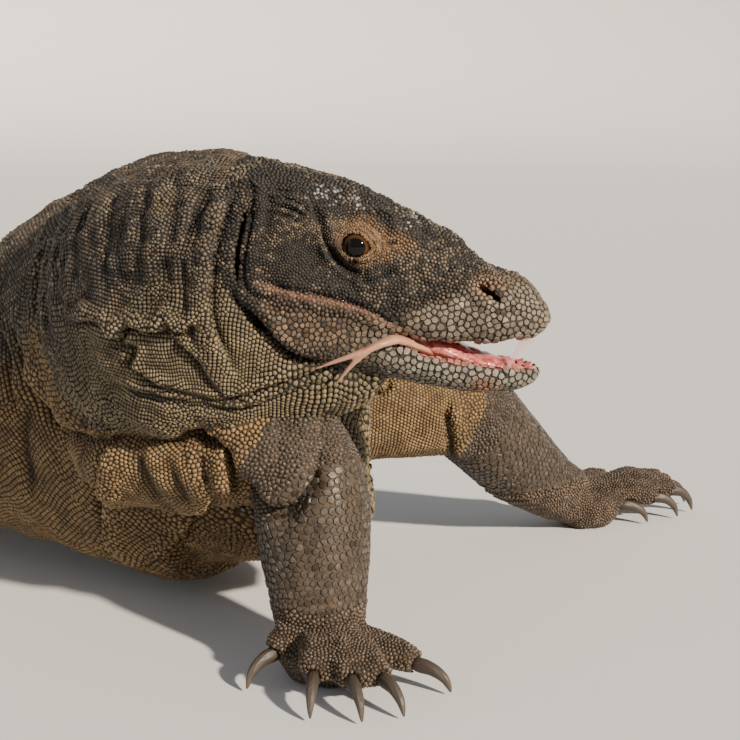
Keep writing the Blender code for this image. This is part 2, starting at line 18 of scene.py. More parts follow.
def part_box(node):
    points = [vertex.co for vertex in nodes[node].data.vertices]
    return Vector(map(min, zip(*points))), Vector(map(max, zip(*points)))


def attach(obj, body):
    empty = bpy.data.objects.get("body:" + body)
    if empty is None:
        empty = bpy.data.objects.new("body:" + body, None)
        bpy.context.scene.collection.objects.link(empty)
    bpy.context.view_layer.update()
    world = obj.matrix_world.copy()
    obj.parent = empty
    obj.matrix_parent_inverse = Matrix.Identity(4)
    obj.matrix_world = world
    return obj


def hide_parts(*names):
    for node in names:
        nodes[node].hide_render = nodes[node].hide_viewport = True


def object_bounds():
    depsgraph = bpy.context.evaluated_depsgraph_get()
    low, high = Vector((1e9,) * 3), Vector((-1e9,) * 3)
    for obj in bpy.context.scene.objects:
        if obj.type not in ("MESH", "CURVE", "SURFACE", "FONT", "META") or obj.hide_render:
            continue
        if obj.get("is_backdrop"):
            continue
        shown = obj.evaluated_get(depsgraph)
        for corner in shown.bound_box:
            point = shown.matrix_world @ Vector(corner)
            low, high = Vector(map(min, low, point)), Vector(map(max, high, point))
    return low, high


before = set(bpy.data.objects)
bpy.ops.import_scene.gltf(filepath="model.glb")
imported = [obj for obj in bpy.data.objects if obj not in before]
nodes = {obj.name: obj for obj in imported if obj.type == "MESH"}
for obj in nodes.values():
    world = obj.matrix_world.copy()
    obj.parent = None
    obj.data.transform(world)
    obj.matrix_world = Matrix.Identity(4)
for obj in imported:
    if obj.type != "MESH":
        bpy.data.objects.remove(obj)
solid_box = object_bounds()


# ---------------------------------------------------------------- floor, light and camera
# A pale floor that runs out of sight, a warm low sun at the right, a wide cool lamp at the left and a pale
# sky. The camera stands off the right side of the head, a little above the eye.
def middle_of(name):
    low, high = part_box(name)
    return (low + high) / 2


EYES = {1: middle_of("eye_right"), -1: middle_of("eye_left")}
CAMERA_AT = EYES[1] + Vector((0.621, -0.839, 0.112))
CAMERA_HEADING = math.radians(36)
CAMERA_PITCH = math.radians(10.9)
KEY_COLOUR = (1.0, 0.87, 0.70)
FILL_COLOUR = (0.80, 0.88, 1.0)

camera = bpy.data.objects.new("camera", bpy.data.cameras.new("camera"))
bpy.context.scene.collection.objects.link(camera)
camera.data.sensor_width = 36
camera.data.lens = 72
camera.location = CAMERA_AT
camera.rotation_euler = (math.pi / 2 - CAMERA_PITCH, 0, CAMERA_HEADING)
bpy.context.scene.camera = camera


def link_mesh(name, mesh, material=None):
    made = bpy.data.objects.new(name, mesh)
    bpy.context.scene.collection.objects.link(made)
    if material:
        mesh.materials.append(material)
    return made


def lathe_rings(name, rings):
    """A skin over rings of equal length, the first ring inside."""
    count = len(rings[0])
    corners = [tuple(corner) for ring in rings for corner in ring]
    ends = [(r * count + k, r * count + (k + 1) % count) for r in range(len(rings) - 1) for k in range(count)]
    sides = [(start, start + count, after + count, after) for start, after in ends]
    mesh = bpy.data.meshes.new(name)
    mesh.from_pydata(corners, [], sides)
    mesh.update()
    return mesh


def floor():
    """A round pale sweep: flat under the animal, turned up far behind it on every side. The turned-up part
    lets the lamps shine through it."""
    material = bpy.data.materials.new("floor")
    material.use_nodes = True
    shader = material.node_tree.nodes["Principled BSDF"].inputs
    shader["Base Color"].default_value = (0.60, 0.60, 0.60, 1)
    shader["Roughness"].default_value = 0.9
    flat = [(0.001, 0), (2, 0), (5, 0), (6.5, 0.02)]  # radius and height
    turned_up = [(6.5, 0.02), (7.5, 0.10), (8.2, 0.32), (8.6, 0.75), (8.8, 1.4), (8.85, 2.2)]
    turns = [math.tau * k / 128 for k in range(128)]
    for name, profile in (("floor", flat), ("backdrop", turned_up)):
        rings = [[(r * math.cos(turn), r * math.sin(turn), z) for turn in turns] for r, z in profile]
        mesh = lathe_rings(name, rings)
        mesh.shade_smooth()
        piece = link_mesh(name, mesh, material)
        piece.visible_shadow = name == "floor"
        piece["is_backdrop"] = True


def lamp(name, kind, power, colour, way, at=(0, 0, 0)):
    """A lamp that shines this way."""
    light = bpy.data.lights.new(name, kind)
    light.energy, light.color = power, colour
    made = bpy.data.objects.new(name, light)
    bpy.context.scene.collection.objects.link(made)
    made.location = at
    made.rotation_euler = Vector(way).to_track_quat("-Z", "Y").to_euler()
    return light


floor()
lamp("key", "SUN", 9.5, KEY_COLOUR, (-0.86, 0.16, -0.46)).angle = math.radians(3.0)
FILL_AT, FILL_AIM = Vector((-0.9, -3.2, 1.9)), Vector((0.6, 0, 0.2))
fill = lamp("fill", "AREA", 18, FILL_COLOUR, FILL_AIM - FILL_AT, FILL_AT)
fill.shape, fill.size = "DISK", 2.5
world = bpy.data.worlds.new("studio")
bpy.context.scene.world = world
world.use_nodes = True
sky = world.node_tree.nodes["Background"].inputs
sky["Color"].default_value = (0.90, 0.92, 0.95, 1)
sky["Strength"].default_value = 0.42


# ---------------------------------------------------------------- the hide
# One closed skin over the whole animal, from the lips to the tip of the tail and down to the soles. It is
# made from the solid parts of flesh, swollen across the cuts between them, fused, and then let in by the
# thickness of the scales.
FLESH = [name for name in nodes if not name.startswith(("claw", "eye", "tongue"))]
HIDE_GRAIN = 0.0022  # size of the faces it is fused at
SEAM_SWELL = 0.0006  # closes the cuts between the parts
SCALE_DEPTH = 0.0014


def welded(name):
    """A copy of a solid part's mesh with its corners merged."""
    bm = bmesh.new()
    bm.from_mesh(nodes[name].data)
    bmesh.ops.remove_doubles(bm, verts=bm.verts, dist=1e-6)
    return bm


def mesh_of(bm, name):
    mesh = bpy.data.meshes.new(name)
    bm.to_mesh(mesh)
    bm.free()
    return mesh


def fuse(made, grain):
    remesh = made.modifiers.new("fuse", "REMESH")
    remesh.mode, remesh.voxel_size = "VOXEL", grain


def soften(made, rounds):
    smooth = made.modifiers.new("soften", "SMOOTH")
    smooth.factor, smooth.iterations = 0.5, rounds


def fused_flesh():
    bm = bmesh.new()
    for name in FLESH:
        part = welded(name)
        part.normal_update()
        for vert in part.verts:
            vert.co += vert.normal * SEAM_SWELL
        mesh = mesh_of(part, "part")
        bm.from_mesh(mesh)
        bpy.data.meshes.remove(mesh)
    made = link_mesh("hide", mesh_of(bm, "hide"))
    fuse(made, HIDE_GRAIN)
    soften(made, 18)
    return made


def settle(made):
    """Applies the object's modifiers."""
    bpy.context.view_layer.update()
    mesh = bpy.data.meshes.new_from_object(made.evaluated_get(bpy.context.evaluated_depsgraph_get()))
    made.modifiers.clear()
    made.data = mesh


def places_of(mesh):
    flat = np.empty(len(mesh.vertices) * 3, np.float32)
    mesh.vertices.foreach_get("co", flat)
    return flat.reshape(-1, 3).astype(float)


def normals_of(mesh):
    flat = np.empty(len(mesh.vertices) * 3, np.float32)
    mesh.vertex_normals.foreach_get("vector", flat)
    return flat.reshape(-1, 3).astype(float)


def move_to(mesh, places):
    mesh.vertices.foreach_set("co", places.astype(np.float32).ravel())
    mesh.update()


def store(mesh, name, values):
    """Keeps one value, or one colour, for each corner of the mesh."""
    kind, field = ("FLOAT", "value") if values.ndim == 1 else ("FLOAT_VECTOR", "vector")
    mesh.attributes.new(name, kind, "POINT").data.foreach_set(field, values.astype(np.float32).ravel())


hide = fused_flesh()
settle(hide)
move_to(hide.data, places_of(hide.data) - normals_of(hide.data) * (SCALE_DEPTH + SEAM_SWELL))


def homes_of(places):
    """Which solid part each place belongs to, as its number in FLESH."""
    corners, faces, owner = [], [], []
    for number, name in enumerate(FLESH):
        mesh = nodes[name].data
        start = len(corners)
        corners += [vertex.co.copy() for vertex in mesh.vertices]
        faces += [[start + index for index in polygon.vertices] for polygon in mesh.polygons]
        owner += [number] * len(mesh.polygons)
    tree = BVHTree.FromPolygons(corners, faces)
    owner = np.array(owner)
    return owner[[tree.find_nearest(place)[2] for place in places]]


def part_mask(homes, *starts):
    """Picks the places whose solid part's name starts with one of these words."""
    wanted = [number for number, name in enumerate(FLESH) if name.startswith(starts)]
    return np.isin(homes, wanted)


# Head measures run back from the snout's tip, to the animal's right, and up, all in head lengths.
HEAD_LENGTH = 0.222
HEAD_TURN, HEAD_DIP = math.radians(30.5), math.radians(13.0)
AHEAD = Vector((math.cos(HEAD_TURN) * math.cos(HEAD_DIP), math.sin(HEAD_TURN) * math.cos(HEAD_DIP),
                -math.sin(HEAD_DIP)))
RIGHT = Vector((math.sin(HEAD_TURN), -math.cos(HEAD_TURN), 0))
OVER = AHEAD.cross(RIGHT) * -1
EYE_BACK, EYE_UP = 0.660, 0.130
SNOUT = (EYES[1] + EYES[-1]) / 2 + (AHEAD * EYE_BACK - OVER * EYE_UP) * HEAD_LENGTH
HEAD_AXES = np.array([-AHEAD, RIGHT, OVER])


def in_head(places):
    """Places told in head measures."""
    return (places - np.array(SNOUT)) @ HEAD_AXES.T / HEAD_LENGTH


def from_head(measures):
    return np.array(measures) @ HEAD_AXES * HEAD_LENGTH + np.array(SNOUT)


def smooth_line(points, steps=4):
    """The points made denser along a Catmull-Rom curve through them."""
    points = np.array(points, float)
    padded = np.vstack([2 * points[0] - points[1], points, 2 * points[-1] - points[-2]])
    dense = []
    for a, b, c, d in zip(padded[:-3], padded[1:-2], padded[2:-1], padded[3:]):
        for t in np.arange(steps) / steps:
            bend = (2 * a - 5 * b + 4 * c - d) * t**2 + (3 * b - a - 3 * c + d) * t**3
            dense.append(0.5 * (2 * b + (c - a) * t + bend))
    return np.array([*dense, points[-1]])


def unit(vectors):
    return vectors / np.maximum(np.linalg.norm(vectors, axis=-1, keepdims=True), 1e-12)


class Tube:
    """A long part told by its middle line: how far along a place lies, which way round, and how far out."""

    def __init__(self, line, top):
        self.line = smooth_line(line)
        steps = np.diff(self.line, axis=0)
        self.run = np.concatenate([[0], np.cumsum(np.linalg.norm(steps, axis=1))])
        self.ways = unit(np.gradient(self.line, axis=0))
        tops = [np.array(top, float)]
        for way in self.ways:
            tops.append(unit(tops[-1] - way * (tops[-1] @ way)))
        self.tops = np.array(tops[1:])
        self.rights = np.cross(self.ways, self.tops)

    def at(self, along):
        """The middle line's place, way, top and right this far along."""
        return [np.stack([np.interp(along, self.run, kept[:, k]) for k in range(3)], axis=-1)
                for kept in (self.line, self.ways, self.tops, self.rights)]

    def locate(self, places):
        """For each place: metres along, angle from the top towards the right, and metres out."""
        along, turn, out = (np.empty(len(places)) for _ in range(3))
        for start in range(0, len(places), 20000):
            block = places[start : start + 20000]
            rows = slice(start, start + len(block))
            from_line = block[:, None, :] - self.line
            passed = np.einsum("pkj,kj->pk", from_line, self.ways)  # beyond each ring's plane, or short of it
            gap = np.einsum("pkj,pkj->pk", from_line, from_line)
            between = (passed[:, :-1] >= 0) & (passed[:, 1:] < 0)
            cost = np.where(between, np.minimum(gap[:, :-1], gap[:, 1:]), np.inf)
            pick = np.arange(len(block))
            span = cost.argmin(axis=1)
            lost = ~np.isfinite(cost[pick, span])
            span[lost] = np.clip(gap[lost].argmin(axis=1), 0, len(self.line) - 2)
            before, after = passed[pick, span], passed[pick, span + 1]
            share = np.clip(before / np.maximum(before - after, 1e-9), 0, 1)
            share[lost] = np.where(passed[lost, span[lost]] < 0, 0, 1)
            along[rows] = self.run[span] + share * (self.run[span + 1] - self.run[span])
            middle, _, top, right = self.at(along[rows])
            away = block - middle
            turn[rows] = np.arctan2(np.sum(away * right, 1), np.sum(away * top, 1))
            out[rows] = np.linalg.norm(away, axis=1)
        return along, turn, out


# Fine detail needs finer faces round the eyes, the nostrils, the lips and the ears.
def near_face_detail(places):
    back, right, up = in_head(places).T
    right = abs(right)
    eye = (back - EYE_BACK) ** 2 + (up - EYE_UP - 0.02) ** 2 < 0.13**2
    nostril = (back - 0.21) ** 2 + (up - 0.07) ** 2 < 0.08**2
    lips = (back < 0.98) & (abs(up + 0.09) < 0.10)
    ear = (abs(back - 1.0) < 0.08) & (up > -0.25) & (up < 0.26)
    temple = (back > 0.75) & (back < 1.05) & (up > 0.15) & (up < 0.30)
    return (right > 0.03) & (right < 0.40) & (eye | nostril | lips | ear | temple)


def refine(mesh, wanted):
    """Splits each edge between wanted corners in two."""
    bm = bmesh.new()
    bm.from_mesh(mesh)
    chosen = [edge for edge in bm.edges if wanted[edge.verts[0].index] and wanted[edge.verts[1].index]]
    bmesh.ops.subdivide_edges(bm, edges=chosen, cuts=1, use_grid_fill=True, smooth=0.4)
    bmesh.ops.triangulate(bm, faces=[face for face in bm.faces if len(face.verts) > 4])
    bm.to_mesh(mesh)
    bm.free()


refine(hide.data, near_face_detail(places_of(hide.data)))
places = places_of(hide.data)
homes = homes_of(places)


def trunk_middle(x):
    """The middle of the trunk or tail where it crosses this X."""
    near = places[spine_part & (abs(places[:, 0] - x) < 0.012)]
    return (near.min(axis=0) + near.max(axis=0)) / 2 * (0, 1, 1) + (x, 0, 0)


spine_part = part_mask(homes, "tail", "pelvis", "belly", "chest")
tail_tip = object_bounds()[0][0]
NECK_BASE, NAPE = 0.62, 1.0  # X of the shoulders, and head lengths back to the ears
spine = [trunk_middle(x) for x in np.linspace(tail_tip + 0.02, NECK_BASE, 24)]
nape = from_head((NAPE, 0, 0))
arch = [spine[-1], spine[-1] + (0.15, 0, 0.03), nape - np.array(AHEAD) * 0.12, nape]
for t in (0.25, 0.5, 0.75):
    weights = np.array([(1 - t) ** 3, 3 * t * (1 - t) ** 2, 3 * t * t * (1 - t), t**3])
    spine.append(weights @ np.array(arch))
spine.append(nape)
spine.append(from_head((0, 0, 0)))
body = Tube(spine, top=(0, 0, 1))
NAPE_RUN = body.locate(nape[None])[0][0]


# ---------------------------------------------------------------- folds of the hide
# Loose skin lies in folds: collars behind the ears, a throat pouch that hangs over the arms, laps where the
# arms leave the chest, wrinkles across the wrists. Each fold follows its own path over the skin.
def skin_tree():
    hide.data.calc_loop_triangles()
    return BVHTree.FromPolygons(places.tolist(), [tuple(tri.vertices) for tri in hide.data.loop_triangles])


flat_places = places.copy()
bare = np.zeros(len(places), bool)  # skin that carries no scales
groove_shade = np.zeros(len(places))  # painted shade: how deep in the dark of a groove each corner lies, up to 1
surface = skin_tree()


def on_head(back, up, side=1):
    """The skin's place at these head measures, seen square from the side."""
    start = Vector(from_head((back, side * 0.6, up)))
    return surface.ray_cast(start, -RIGHT * side, 0.2)[0] or surface.find_nearest(start)[0]


def on_neck(behind, turn, side=1):
    """The skin's place this far behind the ears, at this angle from the top round to the side."""
    start, _, top, right = body.at(NAPE_RUN - behind)
    angle = math.radians(turn) * side
    away = top * math.cos(angle) + right * math.sin(angle)
    return surface.ray_cast(Vector(start + away * 0.3), Vector(-away), 0.3)[0] or Vector(start + away * 0.1)


def toward(values, low, high):
    """0 at the low end, 1 at the high end, and smooth between."""
    share = np.clip((values - low) / (high - low), 0, 1)
    return share * share * (3 - 2 * share)


def mottle(places, size, seed):
    """Smooth noise from 0 to 1 with features of this size in metres."""
    table = np.random.default_rng(seed).random(4096)
    cell = places / size
    base = np.floor(cell).astype(int)
    part = cell - base
    part = part * part * (3 - 2 * part)
    total = np.zeros(len(places))
    for corner in np.ndindex(2, 2, 2):
        spot = (base + corner) @ (73, 179, 283) % 4096
        total += table[spot] * np.prod(np.where(corner, part, 1 - part), axis=1)
    return total


def along_path(path, reach):
    """The corners within reach of a path: how far each lies to its right, how much of the fold is left there,
    and which way right is."""
    line = smooth_line(path, 5)
    steps = np.diff(line, axis=0)
    lengths = np.linalg.norm(steps, axis=1)
    low, high = line.min(axis=0) - reach, line.max(axis=0) + reach
    near = np.flatnonzero(((places > low) & (places < high)).all(axis=1))
    block = places[near]
    from_start = block[:, None] - line[None, :-1]
    share = np.clip(np.einsum("pkj,kj->pk", from_start, steps) / lengths**2, 0, 1)
    gap = from_start - share[..., None] * steps
    distance = np.linalg.norm(gap, axis=2)
    nearest = distance.argmin(axis=1)
    pick = np.arange(len(block))
    distance = distance[pick, nearest]
    run = np.concatenate([[0], np.cumsum(lengths)])
    told = (run[nearest] + share[pick, nearest] * lengths[nearest]) / run[-1]
    right = unit(np.cross(unit(steps)[nearest], normals[near]))
    offset = np.sign(np.einsum("pj,pj->p", gap[pick, nearest], right)) * distance
    keep = distance < reach
    fade = np.clip(np.minimum(told, 1 - told) * 6, 0, 1)
    fade *= 0.75 + 0.5 * mottle(block, 0.014, 7)
    return near[keep], offset[keep], fade[keep], right[keep]


def paint_shade(near, share):
    """Paints shade into grooves: the scales and the skin in them are darker."""
    groove_shade[near] = np.maximum(groove_shade[near], np.clip(share, 0, 1))


def crease(path, width, height, dark=1.0):
    """A soft ridge along the path, or a groove with painted shade where the height is below zero. It fades at
    its ends.
    """
    near, offset, fade, _ = along_path(path, 3 * width)
    bell = fade * np.exp(-((offset / width) ** 2))
    places[near] += normals[near] * (height * bell)[:, None]
    if height < 0:
        paint_shade(near, dark * bell)


def roll(path, width, height, depth):
    """A rolled fold along the path, with a groove close on its right that holds painted shade."""
    near, offset, fade, right = along_path(path, 4 * width)
    up = height * np.exp(-((offset / width) ** 2))
    down = depth * np.exp(-(((offset - 1.35 * width) / (0.6 * width)) ** 2))
    lean = 0.4 * up * (offset > 0)
    paint_shade(near, 0.9 * fade * down / depth)
    places[near] += normals[near] * ((up - down) * fade)[:, None] + right * (lean * fade)[:, None]


def lap(path, width, lift, drop, slide):
    """Skin that swells towards the path from its left, hangs over it by the slide, and is sunken beyond, with
    painted shade there.
    """
    near, offset, fade, right = along_path(path, 3 * width)
    over = 1 / (1 + np.exp(np.clip(offset / (0.16 * width), -30, 30)))
    swell = np.exp(-((offset / width) ** 2))
    sink = np.exp(-(((offset - 0.15 * width) / (0.5 * width)) ** 2))
    tuck = np.exp(-((offset / (0.45 * width)) ** 2))
    rise = (lift * swell * over - drop * sink * (1 - over)) * fade
    paint_shade(near, 0.65 * fade * sink * (1 - over))
    places[near] += normals[near] * rise[:, None] + right * (slide * fade * tuck * over)[:, None]


def pit(path, half_width, depth, inward):
    """An opening along the path, sunk straight in. Its floor is round, and it closes at both ends."""
    inward = np.array(inward)
    line = smooth_line(path, 5)
    reach = np.linalg.norm(line[-1] - line[0]) + 0.01
    near = np.flatnonzero(np.linalg.norm(places - line.mean(axis=0), axis=1) < reach)

    def flat(points):
        return points - np.outer(points @ inward, inward)

    gaps = np.linalg.norm(flat(places[near])[:, None] - flat(line)[None], axis=2)
    share = gaps.argmin(axis=1) / (len(line) - 1)
    width = half_width * np.sqrt(np.clip(1 - (2 * share - 1) ** 4, 0.05, 1))
    sunk = np.clip(1 - (gaps.min(axis=1) / width) ** 2, 0, 1) ** 0.7
    sunk *= normals[near] @ inward < 0
    places[near] += inward * (depth * sunk)[:, None]
    bare[near[sunk > 0.45]] = True


def renew_normals():
    global normals
    move_to(hide.data, places)
    normals = normals_of(hide.data)


renew_normals()


def neck_path(spots, side):
    """A path over the neck, told by metres behind the ears and degrees from the top. Told downwards, its
    right lies behind it, and told forwards, its right lies below."""
    return [on_neck(*spot, side) for spot in spots[::side]]


LIMB_LINES = {  # middle lines, from inside the trunk to the ankle
    "fore_right": [(0.831, -0.103, 0.160), (0.901, -0.133, 0.158), (0.971, -0.137, 0.166),
                   (1.023, -0.123, 0.172), (1.044, -0.112, 0.140), (1.051, -0.115, 0.098),
                   (1.058, -0.120, 0.060), (1.064, -0.124, 0.030)],
    "fore_left": [(0.831, 0.027, 0.160), (0.901, 0.067, 0.156), (0.959, 0.127, 0.150), (0.993, 0.177, 0.143),
                  (1.005, 0.219, 0.109), (1.014, 0.257, 0.075), (1.026, 0.293, 0.048), (1.037, 0.321, 0.032)],
    "hind_right": [(0.181, -0.033, 0.160), (0.221, -0.123, 0.162), (0.286, -0.233, 0.160),
                   (0.311, -0.291, 0.146), (0.271, -0.317, 0.110), (0.226, -0.327, 0.075),
                   (0.199, -0.333, 0.048), (0.203, -0.341, 0.030)],
    "hind_left": [(0.171, 0.007, 0.160), (0.231, 0.082, 0.162), (0.311, 0.167, 0.160), (0.356, 0.215, 0.146),
                  (0.341, 0.255, 0.110), (0.309, 0.283, 0.075), (0.291, 0.299, 0.048), (0.299, 0.309, 0.030)],
}
ELBOW = 3  # the elbow's or knee's place in each line


def swell(mask, size, height, seed):
    """Soft lumps over part of the hide. They die away towards the elbows and knees, where it is firm."""
    amount = (mottle(places[mask], size, seed) - 0.5) * height
    for line in LIMB_LINES.values():
        amount *= toward(np.linalg.norm(places[mask] - line[ELBOW], axis=1), 0.045, 0.100)
    places[mask] += normals[mask] * amount[:, None]


THROAT_EDGE = [(0.262, 55), (0.245, 75), (0.236, 98), (0.233, 112), (0.228, 127), (0.213, 137), (0.174, 144),
               (0.143, 150), (0.092, 160), (0.035, 165), (-0.017, 166), (-0.062, 168), (-0.088, 163)]
lap(neck_path(THROAT_EDGE, 1), 0.026, 0.010, 0.018, 0.014)
lap(neck_path(THROAT_EDGE[1:6], -1), 0.024, 0.008, 0.010, 0.008)
renew_normals()
loose_skin = part_mask(homes, "neck", "chest", "upper", "belly", "thigh")
swell(loose_skin, 0.030, 0.0060, 31)
swell(loose_skin, 0.012, 0.0022, 32)
turned = body.locate(places[part_mask(homes, "neck")])[1]
nape_skin = np.flatnonzero(part_mask(homes, "neck"))[abs(turned) < math.radians(105)]
swell(nape_skin, 0.0105, 0.0046, 34)
renew_normals()
for side in (1, -1):
    # upright furrows and the ridges between them over the nape
    for behind, low in ((0.018, 100), (0.034, 105), (0.050, 104), (0.078, 100), (0.110, 90), (0.140, 92),
                        (0.175, 96), (0.210, 88)):
        furrow = [(behind + 0.007, 20), (behind + 0.002, 48), (behind, 78), (behind + 0.001, low)]
        crease(neck_path(furrow, side), 0.0050, -0.0026, dark=0.45)
        crease(neck_path([(back + 0.009, turn) for back, turn in furrow], side), 0.0045, 0.0018)
    lap(neck_path([(0.292, 50), (0.262, 80), (0.266, 100), (0.268, 116)], side), 0.014, 0.004, 0.006, 0.004)
    renew_normals()
    # the ruffled fold along the side of the neck, and the folds that run from under it
    ruffle = [(0.128, 100), (0.112, 104), (0.095, 108), (0.083, 114), (0.077, 121), (0.070, 118),
              (0.058, 120), (0.048, 124), (0.040, 123), (0.034, 118), (0.027, 124), (0.020, 120),
              (0.012, 116)]
    roll(neck_path(ruffle, side), 0.0048, 0.0095, 0.0095)
    roll(neck_path([(0.090, 122), (0.061, 130), (0.068, 137), (0.088, 139)], side), 0.0045, 0.0030, 0.0050)
    roll(neck_path([(0.036, 125), (0.013, 135), (-0.003, 149), (-0.030, 155)], side), 0.0050, 0.0035, 0.0050)
    for spots in ([(0.110, 136), (0.091, 141), (0.040, 153), (-0.015, 157), (-0.044, 150), (-0.078, 144)],
                  [(0.092, 128), (0.082, 131), (0.054, 145), (0.000, 153), (-0.036, 146), (-0.069, 139)]):
        roll(neck_path(spots, side), 0.0046, 0.0042, 0.0050)
    renew_normals()
    # the collar that stands up behind the ear's slit and the soft flap that falls from it to the jaw
    collar = [(0.004, 34), (0.009, 57), (0.011, 83), (0.010, 108), (0.006, 123), (-0.004, 138), (-0.016, 149)]
    lap(neck_path(collar[::-1], side), 0.0100, 0.0065, 0.0060, 0.0050)
    crease(neck_path([(back + 0.014, turn) for back, turn in collar], side), 0.0035, -0.0035)
    flap = [(-0.006, 97), (-0.017, 106), (-0.033, 116), (-0.051, 129), (-0.082, 138)]
    roll(neck_path(flap, side), 0.0055, 0.0040, 0.0060)
renew_normals()


def on_skin(spots):
    return [surface.find_nearest(Vector(spot))[0] for spot in spots]


# The right arm: the crease where it leaves the chest, its sagging lower edge, two ridges and furrows of skin
# before the elbow, then creases down the arm and the chest. The left arm has the crease at its bend.
surface = skin_tree()
lap(on_skin([(0.912, -0.190, 0.185), (0.899, -0.185, 0.145), (0.875, -0.160, 0.118), (0.855, -0.137, 0.098),
             (0.833, -0.102, 0.046)]), 0.016, 0.008, 0.012, 0.006)
lap(on_skin([(0.835, -0.095, 0.046), (0.891, -0.106, 0.075), (0.960, -0.145, 0.110), (1.001, -0.171, 0.142)]),
    0.014, 0.006, 0.012, 0.005)
for top, low in (((1.008, -0.175, 0.180), (1.006, -0.169, 0.140)),
                 ((1.028, -0.165, 0.183), (1.022, -0.156, 0.136))):
    crease(on_skin([top, low]), 0.0055, 0.0085)
for top, low in (((0.994, -0.178, 0.172), (0.996, -0.172, 0.146)),
                 ((1.018, -0.170, 0.178), (1.014, -0.162, 0.140))):
    crease(on_skin([top, low]), 0.0038, -0.0080)
lap(on_skin([(1.016, 0.128, 0.161), (1.019, 0.132, 0.133), (1.002, 0.164, 0.098)]),
    0.012, 0.006, 0.009, 0.003)
for start, middle, end in (((0.935, -0.185, 0.172), (0.945, -0.175, 0.145), (0.940, -0.150, 0.108)),
                           ((0.960, -0.180, 0.172), (0.972, -0.172, 0.150), (0.968, -0.160, 0.125)),
                           ((0.880, -0.190, 0.190), (0.862, -0.175, 0.150), (0.850, -0.150, 0.105)),
                           ((0.800, -0.190, 0.200), (0.780, -0.185, 0.150), (0.775, -0.160, 0.090)),
                           ((0.720, -0.190, 0.220), (0.700, -0.190, 0.160), (0.710, -0.170, 0.100))):
    crease(on_skin([start, middle, end]), 0.0060, -0.0035)
renew_normals()
surface = skin_tree()


# Painted shade in rings round each toe, and ring wrinkles across the wrist.
TOES = {  # where the toes spread from, then each toe's heading in degrees and its reach
    "fore_right": ((1.065, -0.125), [(8, 0.082), (-21, 0.086), (-37, 0.082), (-57, 0.072), (-104, 0.045)]),
    "fore_left": ((1.037, 0.324), [(36, 0.052), (46, 0.09), (54, 0.116), (65, 0.126), (96, 0.094)]),
    "hind_right": ((0.209, -0.341), [(8, 0.088), (-8, 0.126), (-20, 0.158), (-33, 0.172), (-70, 0.1)]),
    "hind_left": ((0.303, 0.309), [(-2, 0.088), (14, 0.126), (26, 0.158), (38, 0.172), (74, 0.1)]),
}
TOE_MIDDLE = 0.014  # height of the toes' middle lines
RING_STEP = 0.0062
WRIST_LOW, WRIST_TALL = 0.030, 0.036

foot = part_mask(homes, "forefoot", "hindfoot")
toe_of, toe_along, toe_turn = np.full(len(places), -1), np.zeros(len(places)), np.zeros(len(places))
toe_ways = []
for start, toes in TOES.values():
    away = places[:, :2] - start
    beside = foot & (np.linalg.norm(away, axis=1) < 0.2)
    for heading, reach in toes:
        way = np.array((math.cos(math.radians(heading)), math.sin(math.radians(heading))))
        along = away @ way
        aside = away @ (-way[1], way[0])
        from_middle = np.hypot(aside, places[:, 2] - TOE_MIDDLE)
        mine = beside & (along > 0.50 * reach) & (along < reach + 0.012) & (from_middle < 0.0165)
        closer = mine & ((toe_of < 0) | (abs(aside) < abs(toe_turn)))
        toe_of[closer], toe_along[closer], toe_turn[closer] = len(toe_ways), along[closer], aside[closer]
        toe_ways.append((*way, 0))
        mine = beside & (along > 0.3 * reach) & (along < reach)
        mine &= (abs(aside) < 0.012) & (normals[:, 2] > -0.2)
        ring = np.cos(along[mine] * math.tau / RING_STEP)
        deep = toward(along[mine], 0.3 * reach, 0.5 * reach)
        paint_shade(np.flatnonzero(mine), 0.55 * deep * (0.5 - 0.5 * ring))
toe_turn = np.arctan2(toe_turn, places[:, 2] - TOE_MIDDLE)
wrist = part_mask(homes, "forefoot", "hindfoot", "forearm", "shin")
wrist &= (places[:, 2] > WRIST_LOW) & (places[:, 2] < 0.066)
level = places[wrist, 2] + 0.004 * mottle(places[wrist], 0.02, 41)
fade = np.sin((places[wrist, 2] - WRIST_LOW) / WRIST_TALL * math.pi)
places[wrist] += normals[wrist] * (0.0011 * np.cos(level * math.tau / 0.0075) * fade)[:, None]
renew_normals()
surface = skin_tree()


def head_path(spots, side):
    return [on_head(*spot, side) for spot in spots]


def bump(back, up, side, radius, height):
    """A broad soft swelling on the side of the head, or a hollow where the height is below zero."""
    centre = np.array(on_head(back, up, side))
    distance = np.linalg.norm(places - centre, axis=1)
    near = distance < 3 * radius
    places[near] += normals[near] * (height * np.exp(-((distance[near] / radius) ** 2)))[:, None]


